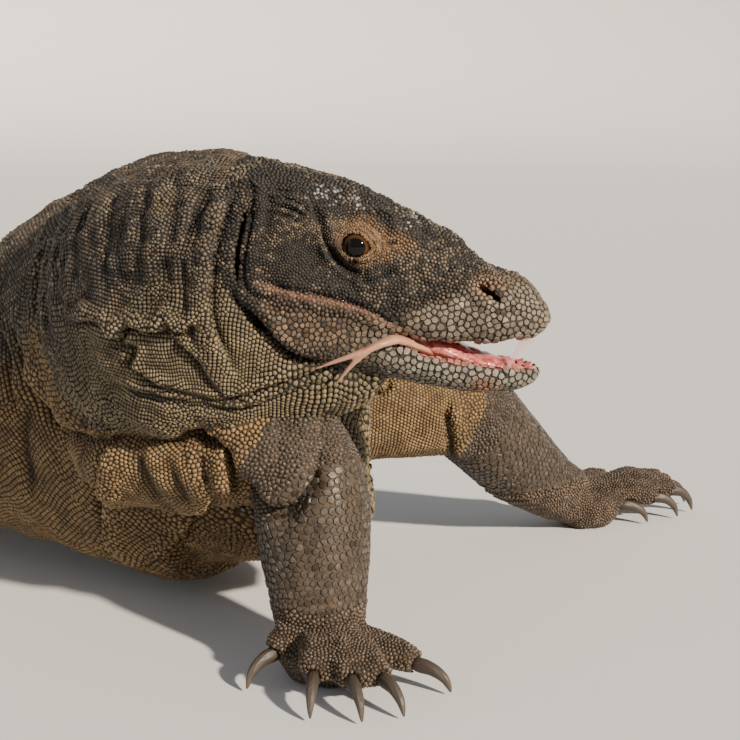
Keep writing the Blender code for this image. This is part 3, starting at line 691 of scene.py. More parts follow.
EYE_RADIUS = (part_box("eye_right")[1].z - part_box("eye_right")[0].z) / 2
for side in (1, -1):
    bump(0.890, 0.100, side, 0.022, 0.0035)  # temple
    bump(0.780, -0.130, side, 0.018, 0.0035)  # jaw muscle
    bump(0.430, 0.060, side, 0.016, -0.0025)  # hollow before the eye
    bump(0.200, 0.070, side, 0.010, 0.0012)  # swelling round the nostril
swell(part_mask(homes, "head", "lower_jaw"), 0.016, 0.0018, 33)
swell(part_mask(homes, "head"), 0.0070, 0.0026, 35)
renew_normals()
for side in (1, -1):
    # the rim before the ear's slit
    rim = [(1.035, 0.27), (0.995, 0.22), (0.975, 0.14), (0.968, 0.05), (0.955, -0.03), (0.92, -0.065),
           (0.86, -0.065)]
    lap(head_path(rim[::side], side), 0.0070, 0.0050, 0.0040, 0.0030)
    before_ear = [(0.985, 0.245), (0.95, 0.19), (0.935, 0.10), (0.93, 0.02), (0.91, -0.02)]
    crease(head_path(before_ear, side), 0.0028, -0.0026)
    # the crease behind the eye, and the ridge inside it
    behind_eye = [(0.83, 0.245), (0.785, 0.20), (0.755, 0.14), (0.715, 0.09), (0.66, 0.055), (0.60, 0.045)]
    crease(head_path(behind_eye, side), 0.0032, -0.0070)
    ridge = [(0.80, 0.21), (0.775, 0.14), (0.73, 0.07), (0.66, 0.030), (0.58, 0.015)]
    crease(head_path(ridge, side), 0.0020, 0.0030)
    # wrinkles over the temple
    for step in range(4):
        low = 0.025 * step
        spots = [(1.00, 0.220 - low), (0.95, 0.252 - low), (0.88, 0.256 - low), (0.81, 0.228 - low)]
        crease(head_path(spots, side), 0.0018, -0.0050)
    # brow, the fold at the front corner of the eye and the one under it
    crease(head_path([(0.77, 0.21), (0.69, 0.250), (0.62, 0.250), (0.54, 0.215)], side), 0.0040, 0.0040)
    crease(head_path([(0.60, 0.155), (0.56, 0.165), (0.51, 0.165)], side), 0.0013, -0.0022)
    crease(head_path([(0.70, 0.03), (0.62, 0.025), (0.55, 0.06), (0.50, 0.11)], side), 0.0022, -0.0020)
    # the shut lips, the fold under them, and the crease under the jaw
    shut_lips = [(0.44, -0.095), (0.50, -0.082), (0.59, -0.052), (0.70, -0.040), (0.83, -0.038),
                 (0.93, -0.028)]
    crease(head_path(shut_lips, side), 0.0018, -0.0055)
    crease(head_path([(0.50, -0.115), (0.60, -0.085), (0.70, -0.072), (0.82, -0.066)], side), 0.0030, 0.0026)
    jaw_crease = [(0.97, -0.09), (0.95, -0.10), (0.89, -0.17), (0.79, -0.24), (0.66, -0.27), (0.53, -0.29),
                  (0.42, -0.29)]
    crease(head_path(jaw_crease, side), 0.0050, -0.0060)
    # the nostril's fold and rim
    crease(head_path([(0.290, 0.085), (0.262, 0.040), (0.205, 0.018), (0.150, 0.030)], side), 0.0015, -0.0026)
    crease(head_path([(0.27, 0.10), (0.22, 0.112), (0.16, 0.09), (0.15, 0.06)], side), 0.0022, 0.0022)
renew_normals()
for side in (1, -1):
    inward = -RIGHT * side
    ear = [(1.022, 0.17), (1.018, 0.10), (1.010, 0.02), (0.992, -0.055)]
    pit(head_path(ear, side), 0.0030, 0.012, inward)
    nostril = [(0.262, 0.092), (0.215, 0.077), (0.170, 0.060)]
    pit(head_path(nostril, side), 0.0040, 0.010, inward)
renew_normals()
CREST_DROP = 0.0036  # keeps the scales on the highest folds under the top of the solid parts
crest = solid_box[1][2]
places[:, 2] -= CREST_DROP * toward(places[:, 2], crest - 0.035, crest)
renew_normals()
soften(hide, 2)
settle(hide)
places = places_of(hide.data)
normals = normals_of(hide.data)
soften(hide, 12)
bpy.context.view_layer.update()
eased = hide.evaluated_get(bpy.context.evaluated_depsgraph_get()).to_mesh()
height_over = np.sum((places - places_of(eased)) * normals, axis=1)  # below zero in a groove
hide.modifiers.clear()


# ---------------------------------------------------------------- shader wires
# Every finish below is wired from nodes. A sum written on two wires adds the Math node that does it.
class Wire:
    """A number on its way between two nodes."""

    def __init__(self, finish, socket):
        self.finish, self.socket = finish, socket

    def math(self, operation, other, swapped=False):
        pair = (other, self) if swapped else (self, other)
        return self.finish.node("ShaderNodeMath", {"operation": operation}, dict(enumerate(pair)))

    def __add__(self, other):
        return self.math("ADD", other)

    def __sub__(self, other):
        return self.math("SUBTRACT", other)

    def __rsub__(self, other):
        return self.math("SUBTRACT", other, True)

    def __mul__(self, other):
        return self.math("MULTIPLY", other)


class Finish:
    """A material in the making."""

    def __init__(self, name, roughness=0.5, coat=0.0):
        self.material = bpy.data.materials.new(name)
        self.material.use_nodes = True
        self.tree = self.material.node_tree
        self.shader = self.tree.nodes["Principled BSDF"]
        self.shader.inputs["Roughness"].default_value = roughness
        self.shader.inputs["Coat Weight"].default_value = coat

    def node(self, kind, settings=None, values=None, output=0):
        made = self.tree.nodes.new(kind)
        for setting, value in (settings or {}).items():
            if setting == "stops":
                ramp = made.color_ramp
                while len(ramp.elements) < len(value):
                    ramp.elements.new(1)
                for element, (place, colour) in zip(ramp.elements, value):
                    element.position, element.color = place, (*colour, 1)
            else:
                setattr(made, setting, value)
        for socket, value in (values or {}).items():
            self.feed(made.inputs[socket], value)
        return Wire(self, made.outputs[output])

    def feed(self, socket, value):
        if isinstance(value, Wire):
            self.tree.links.new(value.socket, socket)
        elif socket.type == "RGBA":
            socket.default_value = (*value, 1)
        else:
            socket.default_value = value

    def set(self, **inputs):
        for name, value in inputs.items():
            self.feed(self.shader.inputs[name.replace("_", " ")], value)

    def attribute(self, name, output="Fac"):
        return self.node("ShaderNodeAttribute", {"attribute_name": name}, output=output)

    def places(self):
        return self.node("ShaderNodeTexCoord", output="Object")

    def grain(self, size, detail=2.0):
        """Soft noise with features of this size in metres."""
        values = {"Vector": self.places(), "Scale": 1 / size, "Detail": detail}
        return self.node("ShaderNodeTexNoise", None, values)

    def blend(self, share, first, second, how="MIX"):
        settings = {"data_type": "RGBA", "blend_type": how, "clamp_factor": True}
        return self.node("ShaderNodeMix", settings, {0: share, 6: first, 7: second}, 2)

    def range(self, value, low, high, to_low=0.0, to_high=1.0):
        ends = {"Value": value, "From Min": low, "From Max": high, "To Min": to_low, "To Max": to_high}
        return self.node("ShaderNodeMapRange", {"interpolation_type": "SMOOTHSTEP"}, ends)

    def bump(self, height, depth, strength):
        return self.node("ShaderNodeBump", None, {"Height": height, "Distance": depth, "Strength": strength})


# ---------------------------------------------------------------- eyes and lids
# A glass eye such as a museum sets: a wide black pupil in a thin amber iris under a clear front. The lids
# are a thick scaly rim drawn to a point at the front, glued to the hide round it.
def eye_finish():
    made = Finish("eye", 0.04)
    made.set(Specular_IOR_Level=0.22)
    stops = [(0.0, (0.002, 0.002, 0.002)), (0.41, (0.002, 0.002, 0.002)), (0.44, (0.030, 0.014, 0.008)),
             (0.52, (0.052, 0.023, 0.010)), (0.60, (0.035, 0.016, 0.009)), (0.64, (0.012, 0.008, 0.006))]
    streaked = made.attribute("off_axis") + made.grain(0.0012, 3) * 0.05 - 0.025
    made.set(Base_Color=made.node("ShaderNodeValToRGB", {"stops": stops}, {"Fac": streaked}))
    return made.material


def eyeball(side, name, material):
    centre, gaze = EYES[side], RIGHT * side
    bm = bmesh.new()
    bmesh.ops.create_uvsphere(bm, u_segments=48, v_segments=32, radius=EYE_RADIUS * 0.985)
    bm.transform(Matrix.Translation(centre) @ gaze.to_track_quat("Z", "Y").to_matrix().to_4x4())
    mesh = mesh_of(bm, name + "_glass")
    away = unit(places_of(mesh) - np.array(centre))
    store(mesh, "off_axis", np.arccos(np.clip(away @ np.array(gaze), -1, 1)) / 1.5)
    made = link_mesh(mesh.name, mesh, material)
    mesh.shade_smooth()
    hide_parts(name)
    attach(made, "root")


LID_PROFILE = [  # share of the way out, lift over the straight line, and brightness, which is painted shade in the grooves
    (0.00, -0.0006, 0.05), (0.05, 0.0007, 0.75), (0.15, 0.0012, 1.00), (0.25, 0.0000, 0.10),
    (0.35, 0.0014, 0.85), (0.47, 0.0019, 1.00), (0.58, 0.0003, 0.10), (0.70, 0.0015, 0.90),
    (0.82, 0.0014, 0.80), (0.92, 0.0000, 0.20), (1.00, -0.0008, 0.30),
]


def lid_finish():
    made = Finish("lids", 0.5)
    granules = made.node("ShaderNodeTexVoronoi", {"feature": "F1"}, {"Vector": made.places(), "Scale": 900.0})
    # The bright attribute carries the painted shade in the lids' grooves.
    bright = made.attribute("bright")
    colour = made.blend(bright, (0.016, 0.010, 0.007), (0.255, 0.140, 0.066))
    seams = made.range(granules, 0.25, 0.75)
    made.set(Base_Color=made.blend(seams * 0.55, colour, (0.10, 0.06, 0.035)))
    made.set(Normal=made.bump(1 - granules, 0.0005, 0.8))
    return made.material


def oval(x, y, ahead, behind, over, under):
    """How far an oval's edge lies this way from its middle. It is drawn to a point in front."""
    power = 2.0 if x > 0 else 1.6
    wide, high = ahead if x > 0 else behind, over if y > 0 else under
    return (abs(x / wide) ** power + abs(y / high) ** power) ** (-1 / power)


def lids(side, name, material):
    centre, out, back, up = EYES[side], RIGHT * side, -AHEAD, OVER
    spokes = 72
    rings = [[] for _ in LID_PROFILE]
    for k in range(spokes):
        angle = math.tau * k / spokes
        x, y = math.cos(angle), math.sin(angle)
        inner = oval(x, y, 0.0100, 0.0112, 0.0086, 0.0086)
        outer = oval(x, y, 0.0150, 0.0255, 0.0165, 0.0132)
        rim = centre + back * (x * inner + 0.0010) + up * (y * inner + 0.0012)
        rim += out * math.sqrt(max((EYE_RADIUS * 1.03) ** 2 - (rim - centre).length_squared, 1e-6))
        start = centre + back * (x * outer + 0.0010) + up * (y * outer + 0.0020) + out * 0.05
        edge = surface.ray_cast(start, -out, 0.08)[0] or start - out * 0.045
        for ring, (share, lift, _) in zip(rings, LID_PROFILE):
            bulge = 0.0022 * math.sin(math.pi * share) * (1 - share)
            ring.append(rim.lerp(edge, share) + out * (lift + bulge))
    order = 1 if side < 0 else -1
    mesh = lathe_rings(name, rings[::order])
    bright = np.repeat([row[2] for row in LID_PROFILE][::order], spokes)
    spots = places_of(mesh)
    far_back, _, high = in_head(spots).T
    dim = 0.70 * toward(far_back - 0.6 * (high - EYE_UP), EYE_BACK - 0.02, EYE_BACK + 0.09)
    # The profile's painted shade in its grooves, then darker towards the rear and below, and lighter or
    # darker at random.
    bright = np.clip(bright * (1 - dim) * (0.45 + 1.0 * mottle(spots, 0.0032, 61)), 0, 1)
    store(mesh, "bright", bright)
    faces = [tuple(face.vertices) for face in mesh.polygons]
    lid_faces[side] = BVHTree.FromPolygons(spots.tolist(), faces), bright[np.array(faces)].mean(axis=1)
    made = link_mesh(name, mesh, material)
    mesh.shade_smooth()
    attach(made, "root")


surface = skin_tree()
lid_faces = {}  # each side's lids as a tree, and how bright each of its faces is, with the painted shade of its grooves
glass, rim_skin = eye_finish(), lid_finish()
for side, word in ((1, "right"), (-1, "left")):
    eyeball(side, "eye_" + word, glass)
    lids(side, "lids_" + word, rim_skin)


# ---------------------------------------------------------------- where the scales sit
# A monitor's scales are round beads in crosswise rows, each row shifted by half a bead. They are granules on
# the head, plates on the lips and the forearms, and narrow bands across the toes.
rng = np.random.default_rng(11)
hide.data.calc_loop_triangles()
triangles = np.empty(len(hide.data.loop_triangles) * 3, np.int32)
hide.data.loop_triangles.foreach_get("vertices", triangles)
triangles = triangles.reshape(-1, 3)


class Chart:
    """Rows and columns over a long part: how many rows along, and how many scales round, each corner lies."""

    ROWS, COLUMNS = 80, 60

    def __init__(self, tube, mask, around, stretch):
        self.members = np.flatnonzero(mask)
        here = flat_places[self.members]
        self.along, self.turn, out = tube.locate(here)
        self.low, self.high = self.along.min(), self.along.max()
        girth, measure = self.ways_round(self.outline(out))
        where = (self.along - self.low) / (self.high - self.low) * self.ROWS - 0.5
        row = np.clip(np.floor(where).astype(int), 0, self.ROWS - 2)
        mix = np.clip(where - row, 0, 1)
        self.girth = (1 - mix) * girth[row] + mix * girth[row + 1]
        step = math.tau / self.COLUMNS
        spot = (self.turn - (0.5 * step - math.pi)) / step
        column = np.clip(np.floor(spot).astype(int), 0, self.COLUMNS - 2)
        share = spot - column
        across = 0
        for rows, weight in ((row, 1 - mix), (row + 1, mix)):
            before, after = measure[rows, column], measure[rows, column + 1]
            across = across + weight * ((1 - share) * before + share * after)
        self.across = across / self.girth * around
        grid = np.linspace(self.low, self.high, self.ROWS)
        pitch = stretch * girth / around
        rows = np.concatenate([[0], np.cumsum(np.diff(grid) / ((pitch[1:] + pitch[:-1]) / 2))])
        self.rows = np.interp(self.along, grid, rows)
        # the rows wander a little, as grown ones do
        self.rows += 1.8 * mottle(here, 0.035, 21) + 0.6 * mottle(here, 0.011, 22)
        self.across += 1.8 * mottle(here, 0.035, 23) + 0.6 * mottle(here, 0.011, 24)

    def outline(self, out):
        """How far out the skin lies at each row and column, evened out along the part."""
        share = (self.along - self.low) / (self.high - self.low)
        row = np.clip(share * self.ROWS, 0, self.ROWS - 1).astype(int)
        column = ((self.turn + math.pi) / math.tau * self.COLUMNS).astype(int) % self.COLUMNS
        bins = row * self.COLUMNS + column
        count = np.bincount(bins, minlength=self.ROWS * self.COLUMNS)
        reach = np.bincount(bins, weights=out, minlength=self.ROWS * self.COLUMNS) / np.maximum(count, 1)
        reach, count = reach.reshape(self.ROWS, -1), count.reshape(self.ROWS, -1)
        for r in range(self.ROWS):
            full = np.flatnonzero(count[r])
            if len(full):
                reach[r] = np.interp(np.arange(self.COLUMNS), full, reach[r, full], period=self.COLUMNS)
            else:
                reach[r] = reach[r - 1]
        for _ in range(3):
            reach = (np.vstack([reach[:1], reach[:-1]]) + reach + np.vstack([reach[1:], reach[-1:]])) / 3
        return reach

    def ways_round(self, reach):
        """Each row's girth, and the way over the skin from the top to each of its columns."""
        step = math.tau / self.COLUMNS
        slope = (np.roll(reach, -1, 1) - np.roll(reach, 1, 1)) / (2 * step)
        arc = np.sqrt(reach**2 + slope**2) * step
        half = self.COLUMNS // 2
        right = np.cumsum(arc[:, half:], axis=1) - arc[:, half:] / 2
        left = np.cumsum(arc[:, half - 1 :: -1], axis=1) - arc[:, half - 1 :: -1] / 2
        return arc.sum(axis=1), np.hstack([-left[:, ::-1], right])


def triangles_within(members):
    """The triangles that lie wholly between these corners, and which of them each of their corners is."""
    where = np.full(len(places), -1)
    where[members] = np.arange(len(members))
    faces = np.flatnonzero((where[triangles] >= 0).all(axis=1))
    return faces, where[triangles[faces]]


def lattice(members, rows, columns, around):
    """Places in brick pattern over the corners' rows and columns, as triangle numbers and corners' shares."""
    faces, corner = triangles_within(members)
    a, b = rows[corner], columns[corner]
    b = b - np.round((b - b[:, :1]) / around) * around
    first = np.ceil(a.min(axis=1)).astype(int)
    e1 = np.stack([a[:, 1] - a[:, 0], b[:, 1] - b[:, 0]], axis=1)
    e2 = np.stack([a[:, 2] - a[:, 0], b[:, 2] - b[:, 0]], axis=1)
    area = e1[:, 0] * e2[:, 1] - e1[:, 1] * e2[:, 0]
    area = np.where(abs(area) < 1e-12, np.inf, area)
    found = []
    for dr in range(int((a.max(axis=1) - first).max()) + 1):
        row = first + dr
        shift = 0.5 * (row % 2)
        start = np.ceil(b.min(axis=1) - shift).astype(int)
        live = row <= a.max(axis=1)
        for dc in range(int(np.clip((b.max(axis=1) - start)[live].max(), 0, 12)) + 1 if live.any() else 0):
            to = np.stack([row, start + dc + shift], axis=1) - np.stack([a[:, 0], b[:, 0]], axis=1)
            u = (to[:, 0] * e2[:, 1] - to[:, 1] * e2[:, 0]) / area
            v = (e1[:, 0] * to[:, 1] - e1[:, 1] * to[:, 0]) / area
            inside = live & (u >= 0) & (v >= 0) & (u + v < 1)
            found.append(np.column_stack([faces[inside], u[inside], v[inside]]))
    return np.vstack(found)


def scatter(members, pitch):
    """Random places over the corners' triangles, as thick as this pitch at each corner would make them."""
    faces, corner = triangles_within(members)
    p = places[triangles[faces]]
    area = np.linalg.norm(np.cross(p[:, 1] - p[:, 0], p[:, 2] - p[:, 0]), axis=1) / 2
    total = np.cumsum(area / (0.866 * pitch[corner].mean(axis=1) ** 2))
    picks = (np.arange(int(total[-1])) + rng.random(int(total[-1]))) * total[-1] / int(total[-1])
    face = faces[np.searchsorted(total, picks)]
    u, v = rng.random((2, len(face)))
    fold = u + v > 1
    u[fold], v[fold] = 1 - u[fold], 1 - v[fold]
    return np.column_stack([face, u, v])


def corner_of(spots):
    """The first corner of each spot's triangle."""
    return triangles[spots[:, 0].astype(int)][:, 0]


def at_spots(values, spots):
    """Values at the corners carried to the spots."""
    face, u, v = spots.T
    shares = np.stack([1 - u - v, u, v], axis=1)
    return np.einsum("sk,sk...->s...", shares, values[triangles[face.astype(int)]])


limbs = {name: Tube(line, top=(1, 0, 0)) for name, line in LIMB_LINES.items()}
joints = np.zeros(len(places), bool)  # the loose skin over elbows and knees, which carries small scales
for name, line in LIMB_LINES.items():
    near = np.linalg.norm(places - line[ELBOW], axis=1) < (0.052 if name.startswith("fore") else 0.062)
    joints |= near & part_mask(homes, "upper", "forearm", "thigh", "shin")
# On the right arm, which bends most, they reach up over the elbow and end on a slant below it.
bent_arm = part_mask(homes, "forearm_right", "upper_arm_right")
over_elbow = bent_arm & (np.linalg.norm(places - (1.030, -0.130, 0.180), axis=1) < 0.072)
slanted = places[:, 2] > np.minimum(0.118 + 1.2 * (places[:, 0] - 1.033), 0.164)
joints = np.where(bent_arm, over_elbow & slanted, joints)
BANDS = [  # piece, solid parts, the line they lie along, scales round, and a row's share of a scale's width
    ("neck", ("neck",), body, 200, 0.87),
    ("chest", ("chest",), body, 224, 0.87),
    ("belly", ("belly",), body, 102, 0.87),
    ("pelvis", ("pelvis",), body, 84, 0.87),
    ("tail_root", ("tail_1",), body, 62, 0.95),
    ("tail_middle", ("tail_2",), body, 42, 1.0),
    ("tail_end", ("tail_3",), body, 30, 1.1),
    ("tail_tip", ("tail_4",), body, 12, 1.2),
]
for which, tube in limbs.items():
    end, side = which.split("_")
    upper, lower = ("upper_arm_", "forearm_") if end == "fore" else ("thigh_", "shin_")
    BANDS.append((f"{upper}{side}", (upper + side,), tube, 98 if end == "fore" else 60, 0.87))
    BANDS.append((f"{lower}{side}", (lower + side,), tube, 46, 1.30))
MOUTH = [  # the hollow between the lips: back, half width, palate, widest line, floor
    (0.020, 0.030, -0.060, -0.100, -0.150),
    (0.060, 0.078, -0.045, -0.110, -0.175),
    (0.140, 0.104, -0.060, -0.120, -0.185),
    (0.260, 0.120, -0.090, -0.140, -0.195),
    (0.400, 0.130, -0.110, -0.145, -0.185),
    (0.520, 0.120, -0.110, -0.130, -0.150),
]


def in_mouth(measures, room):
    """How far inside the mouth each place lies: above 1 on its lining, with this much room added round it."""
    back, right, up = measures.T
    width, palate, widest, bottom = (np.interp(back, *np.array(MOUTH)[:, [0, n]].T) for n in (1, 2, 3, 4))
    height = np.where(up > widest, palate - widest, widest - bottom) + room
    inside = (abs(right) / (width + room)) ** 2.2 + (abs(up - widest) / height) ** 2.2
    return np.where((back > 0.0) & (back < 0.53), 1 / np.maximum(inside, 1e-3), 0)


pitch_of, owner_of = np.zeros(len(places)), np.zeros(len(places), int)
chart_of, axis_of = np.zeros((len(places), 3)), np.zeros((len(places), 3))
spots = []
for number, (name, parts, tube, around, stretch) in enumerate(BANDS):
    chart = Chart(tube, part_mask(homes, *parts) & ~joints, around, stretch)
    spots.append(lattice(chart.members, chart.rows, chart.across, around))
    owner_of[chart.members] = number
    pitch_of[chart.members] = chart.girth / around
    chart_of[chart.members] = np.stack([chart.along, np.cos(chart.turn), np.sin(chart.turn)], axis=1)
    axis_of[chart.members] = -tube.at(chart.along)[1]
HEAD_BAND, FEET_BAND, JOINT_BAND = (len(BANDS) + k for k in range(3))
PLATED = [n for n, (name, *_) in enumerate(BANDS) if name.startswith(("forearm", "shin"))]


def near_spot(back, up, at_back, at_up, reach_back, reach_up):
    return np.exp(-(((back - at_back) / reach_back) ** 2) - ((up - at_up) / reach_up) ** 2)


def lip_line(back):
    """How high the upper lip's edge runs."""
    return np.interp(back, [0, 0.3, 0.45, 0.55, 0.7, 0.95], [-0.11, -0.142, -0.144, -0.11, -0.075, -0.05])


def on_plates(back, up):
    """1 where the lips and the snout carry plates, 0 on granules."""
    edge = [(0.0, 0.16), (0.16, 0.14), (0.24, 0.11), (0.31, 0.06), (0.39, 0.00), (0.47, -0.05), (0.62, -0.10)]
    highest = np.interp(back, *np.array(edge).T)
    return (1 - toward(up, highest - 0.03, highest + 0.02)) * (1 - toward(back, 0.56, 0.70))


def head_pitch(measures):
    """Granules of 2 mm at the eye and temple, up to plates of 6 mm on the lips and snout."""
    back, right, up = measures.T
    plates = on_plates(back, up)
    pitch = 0.0030 + 0.0006 * toward(up, 0.17, 0.26) + 0.0018 * plates
    pitch += 0.0014 * plates * np.exp(-(((up - lip_line(back) - 0.02) / 0.08) ** 2))
    pitch -= 0.0011 * near_spot(back, up, 0.22, 0.075, 0.07, 0.05)
    pitch -= 0.0014 * near_spot(back, up, EYE_BACK, 0.14, 0.12, 0.10)
    pitch -= 0.0009 * near_spot(back, up, 0.88, 0.14, 0.11, 0.16)
    pitch += 0.0016 * near_spot(back, up, 0.76, -0.15, 0.16, 0.08)
    return np.clip(pitch, 0.0018, 0.0060)


measures = in_head(flat_places)
angle = np.arctan2(measures[:, 1], measures[:, 2] + 0.05)
run = NAPE_RUN + (1 - measures[:, 0]) * HEAD_LENGTH
dressed = (in_mouth(measures, 0.010) < 1) & ~bare
AROUND_TOE, ALONG_TOE, TOE_PITCH = 14, 0.0030, 0.0028  # scales round a toe, depth of a row, width of a scale
for number in range(len(toe_ways)):
    members = np.flatnonzero(toe_of == number)
    columns = toe_turn[members] / math.tau * AROUND_TOE
    spots.append(lattice(members, toe_along[members] / ALONG_TOE, columns, AROUND_TOE))
FOREFOOT_PITCH, HINDFOOT_PITCH, JOINT_PITCH = 0.0031, 0.0062, 0.0038
foot_pitch = np.where(part_mask(homes, "forefoot"), FOREFOOT_PITCH, HINDFOOT_PITCH)
foot_pitch *= np.interp(flat_places[:, 2], [0.040, 0.062], [1.0, 1.25])
joint_pitch = np.full(len(places), JOINT_PITCH)
for number, parts, sizes in ((HEAD_BAND, ("head", "lower_jaw"), head_pitch(measures)),
                             (FEET_BAND, ("forefoot", "hindfoot"), foot_pitch),
                             (JOINT_BAND, ("upper", "forearm", "thigh", "shin"), joint_pitch)):
    mask = part_mask(homes, *parts) & (joints if number == JOINT_BAND else True)
    owner_of[mask] = number
    pitch_of[mask] = sizes[mask]
    chart_of[mask] = np.stack([run, np.cos(angle), np.sin(angle)], axis=1)[mask]
    axis_of[mask] = -np.array(AHEAD)
    members = np.flatnonzero(mask & dressed & (toe_of < 0))
    spots.append(scatter(members, pitch_of[members]))
spots = np.concatenate(spots)
on_toe = toe_of >= 0
pitch_of[on_toe], axis_of[on_toe] = TOE_PITCH, -np.array(toe_ways)[toe_of[on_toe]]


def point_tree(points):
    tree = KDTree(len(points))
    for number, point in enumerate(points.tolist()):
        tree.insert(point, number)
    tree.balance()
    return tree


def neighbours(points, count):
    tree = point_tree(points)
    found = [tree.find_n(point, count + 1) for point in points.tolist()]
    near = np.array([[index for _, index, _ in row] for row in found])
    gaps = np.array([[gap for _, _, gap in row] for row in found])
    return near[:, 1:], gaps[:, 1:]


def onto_skin(points):
    """The nearest places on the skin, which way is out there, and which triangle each lies on."""
    hits = [surface.find_nearest(point) for point in points.tolist()]
    at = np.array([tuple(hit[0]) for hit in hits])
    face = np.array([hit[2] for hit in hits])
    to = places[triangles[face]] - at[:, None]
    weights = [np.linalg.norm(np.cross(to[:, (k + 1) % 3], to[:, (k + 2) % 3]), axis=1) for k in range(3)]
    weights = np.stack(weights, axis=1)
    weights /= weights.sum(axis=1, keepdims=True) + 1e-18
    return at, unit(np.einsum("sk,skj->sj", weights, normals[triangles[face]])), face


def spread(points, pitch, rounds, force):
    """Pushes crowded scales apart over the skin, round after round."""
    for _ in range(rounds):
        near, gaps = neighbours(points, 7)
        wanted = (pitch[:, None] + pitch[near]) / 2 * 1.03
        push = np.clip(wanted - gaps, 0, None) * force
        away = (points[:, None] - points[near]) / np.maximum(gaps, 1e-6)[..., None]
        points = onto_skin(points + np.sum(away * push[..., None], axis=1))[0]
    return points


def uncrowded(points, pitch, least):
    """Leaves out each that lies closer than this share of its pitch to an earlier one that stays."""
    near, gaps = neighbours(points, 6)
    close = (gaps < least * pitch[:, None]) & (near < np.arange(len(points))[:, None])
    kept = ~close.any(axis=1)
    for number in np.flatnonzero(~kept):
        kept[number] = not kept[near[number][close[number]]].any()
    return kept


def lids_reach(points):
    """For each place on the head: below 1 under the eyelids."""
    back, right, up = in_head(points).T
    across, high = back - EYE_BACK - 0.005, up - EYE_UP - 0.010
    wide = np.where(across > 0, 0.070, 0.115)
    tall = np.where(high > 0, 0.080, 0.063)
    return np.where(abs(right) > 0.08, (abs(across) / wide) ** 1.7 + (abs(high) / tall) ** 1.7, 9)


roots = at_spots(places, spots)
pitches = at_spots(pitch_of, spots)
loose = (owner_of[corner_of(spots)] >= HEAD_BAND) & (toe_of[corner_of(spots)] < 0)
roots[loose] = spread(roots[loose], pitches[loose], 9, 0.30)
kept = uncrowded(roots, pitches, 0.68)
spots, roots = spots[kept], roots[kept]

# Spare scales fill the gaps that are left along the folds and between the bands.
tree = point_tree(roots)
spare = scatter(np.flatnonzero(dressed), 0.7 * pitch_of[dressed])
points = at_spots(places, spare)
pitches = at_spots(pitch_of, spare)
room = np.array([tree.find(point)[2] for point in points.tolist()])
alone = room > 0.66 * pitches
spare, points, own = spare[alone], points[alone], np.minimum(pitches, 1.15 * room)[alone]
kept = uncrowded(points, own, 0.92)
spots, roots = np.concatenate([spots, spare[kept]]), np.concatenate([roots, points[kept]])
owners = owner_of[corner_of(spots)]
pitches, charts, axes = (at_spots(values, spots) for values in (pitch_of, chart_of, axis_of))
pitches[-kept.sum():] = own[kept]
roots = spread(roots, pitches, 2, 0.20)
roots, ups, faces = onto_skin(roots)

# Those on the lids move out to the lids' own face and take its painted shade, and none covers the eye.
lid_shade, kept = np.ones(len(roots)), np.ones(len(roots), bool)
reach = lids_reach(roots)
for number in np.flatnonzero(reach < 1.02):
    side = 1 if (roots[number] - np.array(SNOUT)) @ np.array(RIGHT) > 0 else -1
    tree, brightness = lid_faces[side]
    place, normal, face, _ = tree.ray_cast(Vector(roots[number]) + RIGHT * side * 0.03, -RIGHT * side, 0.06)
    if place:
        roots[number], lid_shade[number] = place, 0.15 + 1.05 * brightness[face]
        ups[number] = normal if normal.dot(RIGHT * side) > 0 else -normal
    else:
        kept[number] = reach[number] > 0.8
roots, ups, faces, spots, owners, pitches, charts, axes, lid_shade = (
    values[kept] for values in (roots, ups, faces, spots, owners, pitches, charts, axes, lid_shade))

# Each scale reaches halfway to its neighbours, along six spokes.
near, gaps = neighbours(roots, 10)
lies = unit(axes - ups * np.sum(axes * ups, axis=1, keepdims=True))
acrosses = np.cross(ups, lies)
SPOKES = 6
reaches = np.empty((len(roots), SPOKES))
to_near = roots[near] - roots[:, None]
hollow = np.einsum("skj,sj->sk", to_near, ups)[:, :6].mean(axis=1)
roots += ups * np.clip(0.5 * hollow, 0, 0.0012)[:, None]  # none drowns in a hollow
TOE_REACH = 0.0036
longest = np.where(at_spots(on_toe.astype(float), spots) > 0.5, TOE_REACH, 0.80 * pitches)
for spoke in range(SPOKES):
    angle = math.tau * spoke / SPOKES
    way = lies * math.cos(angle) + acrosses * math.sin(angle)
    ahead = np.einsum("skj,sj->sk", to_near, way)
    halfway = np.where(ahead > 1e-5, gaps**2 / (2 * np.maximum(ahead, 1e-5)), np.inf)
    reaches[:, spoke] = np.minimum(halfway.min(axis=1), longest)


# ---------------------------------------------------------------- markings
# The back is blackish brown with beige scale tops, the throat olive tan, the chest and upper arms golden
# brown. The forearms are grey with tan seams, the head dark grey with pale flecks, the lips pale and the
# lids tan.
HIGHLIGHT_SPOTS = [(0.82, 0.265), (0.77, 0.262), (0.69, 0.262), (0.52, 0.235)]  # painted highlights where the light catches the top of the head
SHUT_LIPS = [(0.40, -0.112), (0.50, -0.094), (0.59, -0.064), (0.70, -0.052), (0.83, -0.050), (0.93, -0.040)]
WORN_LIMBS = ("forearm", "forefoot", "shin", "hindfoot")


def mixed(share, first, second):
    return first + np.asarray(share)[..., None] * (np.asarray(second) - first)


def tone(colour, least, more, noise):
    """A colour that is lighter or darker from scale to scale."""
    return np.array(colour) * (least + more * noise)[:, None]


def underneath(points):
    """0 on the back, 1 under the belly."""
    return (1 - np.cos(body.locate(points)[1])) / 2


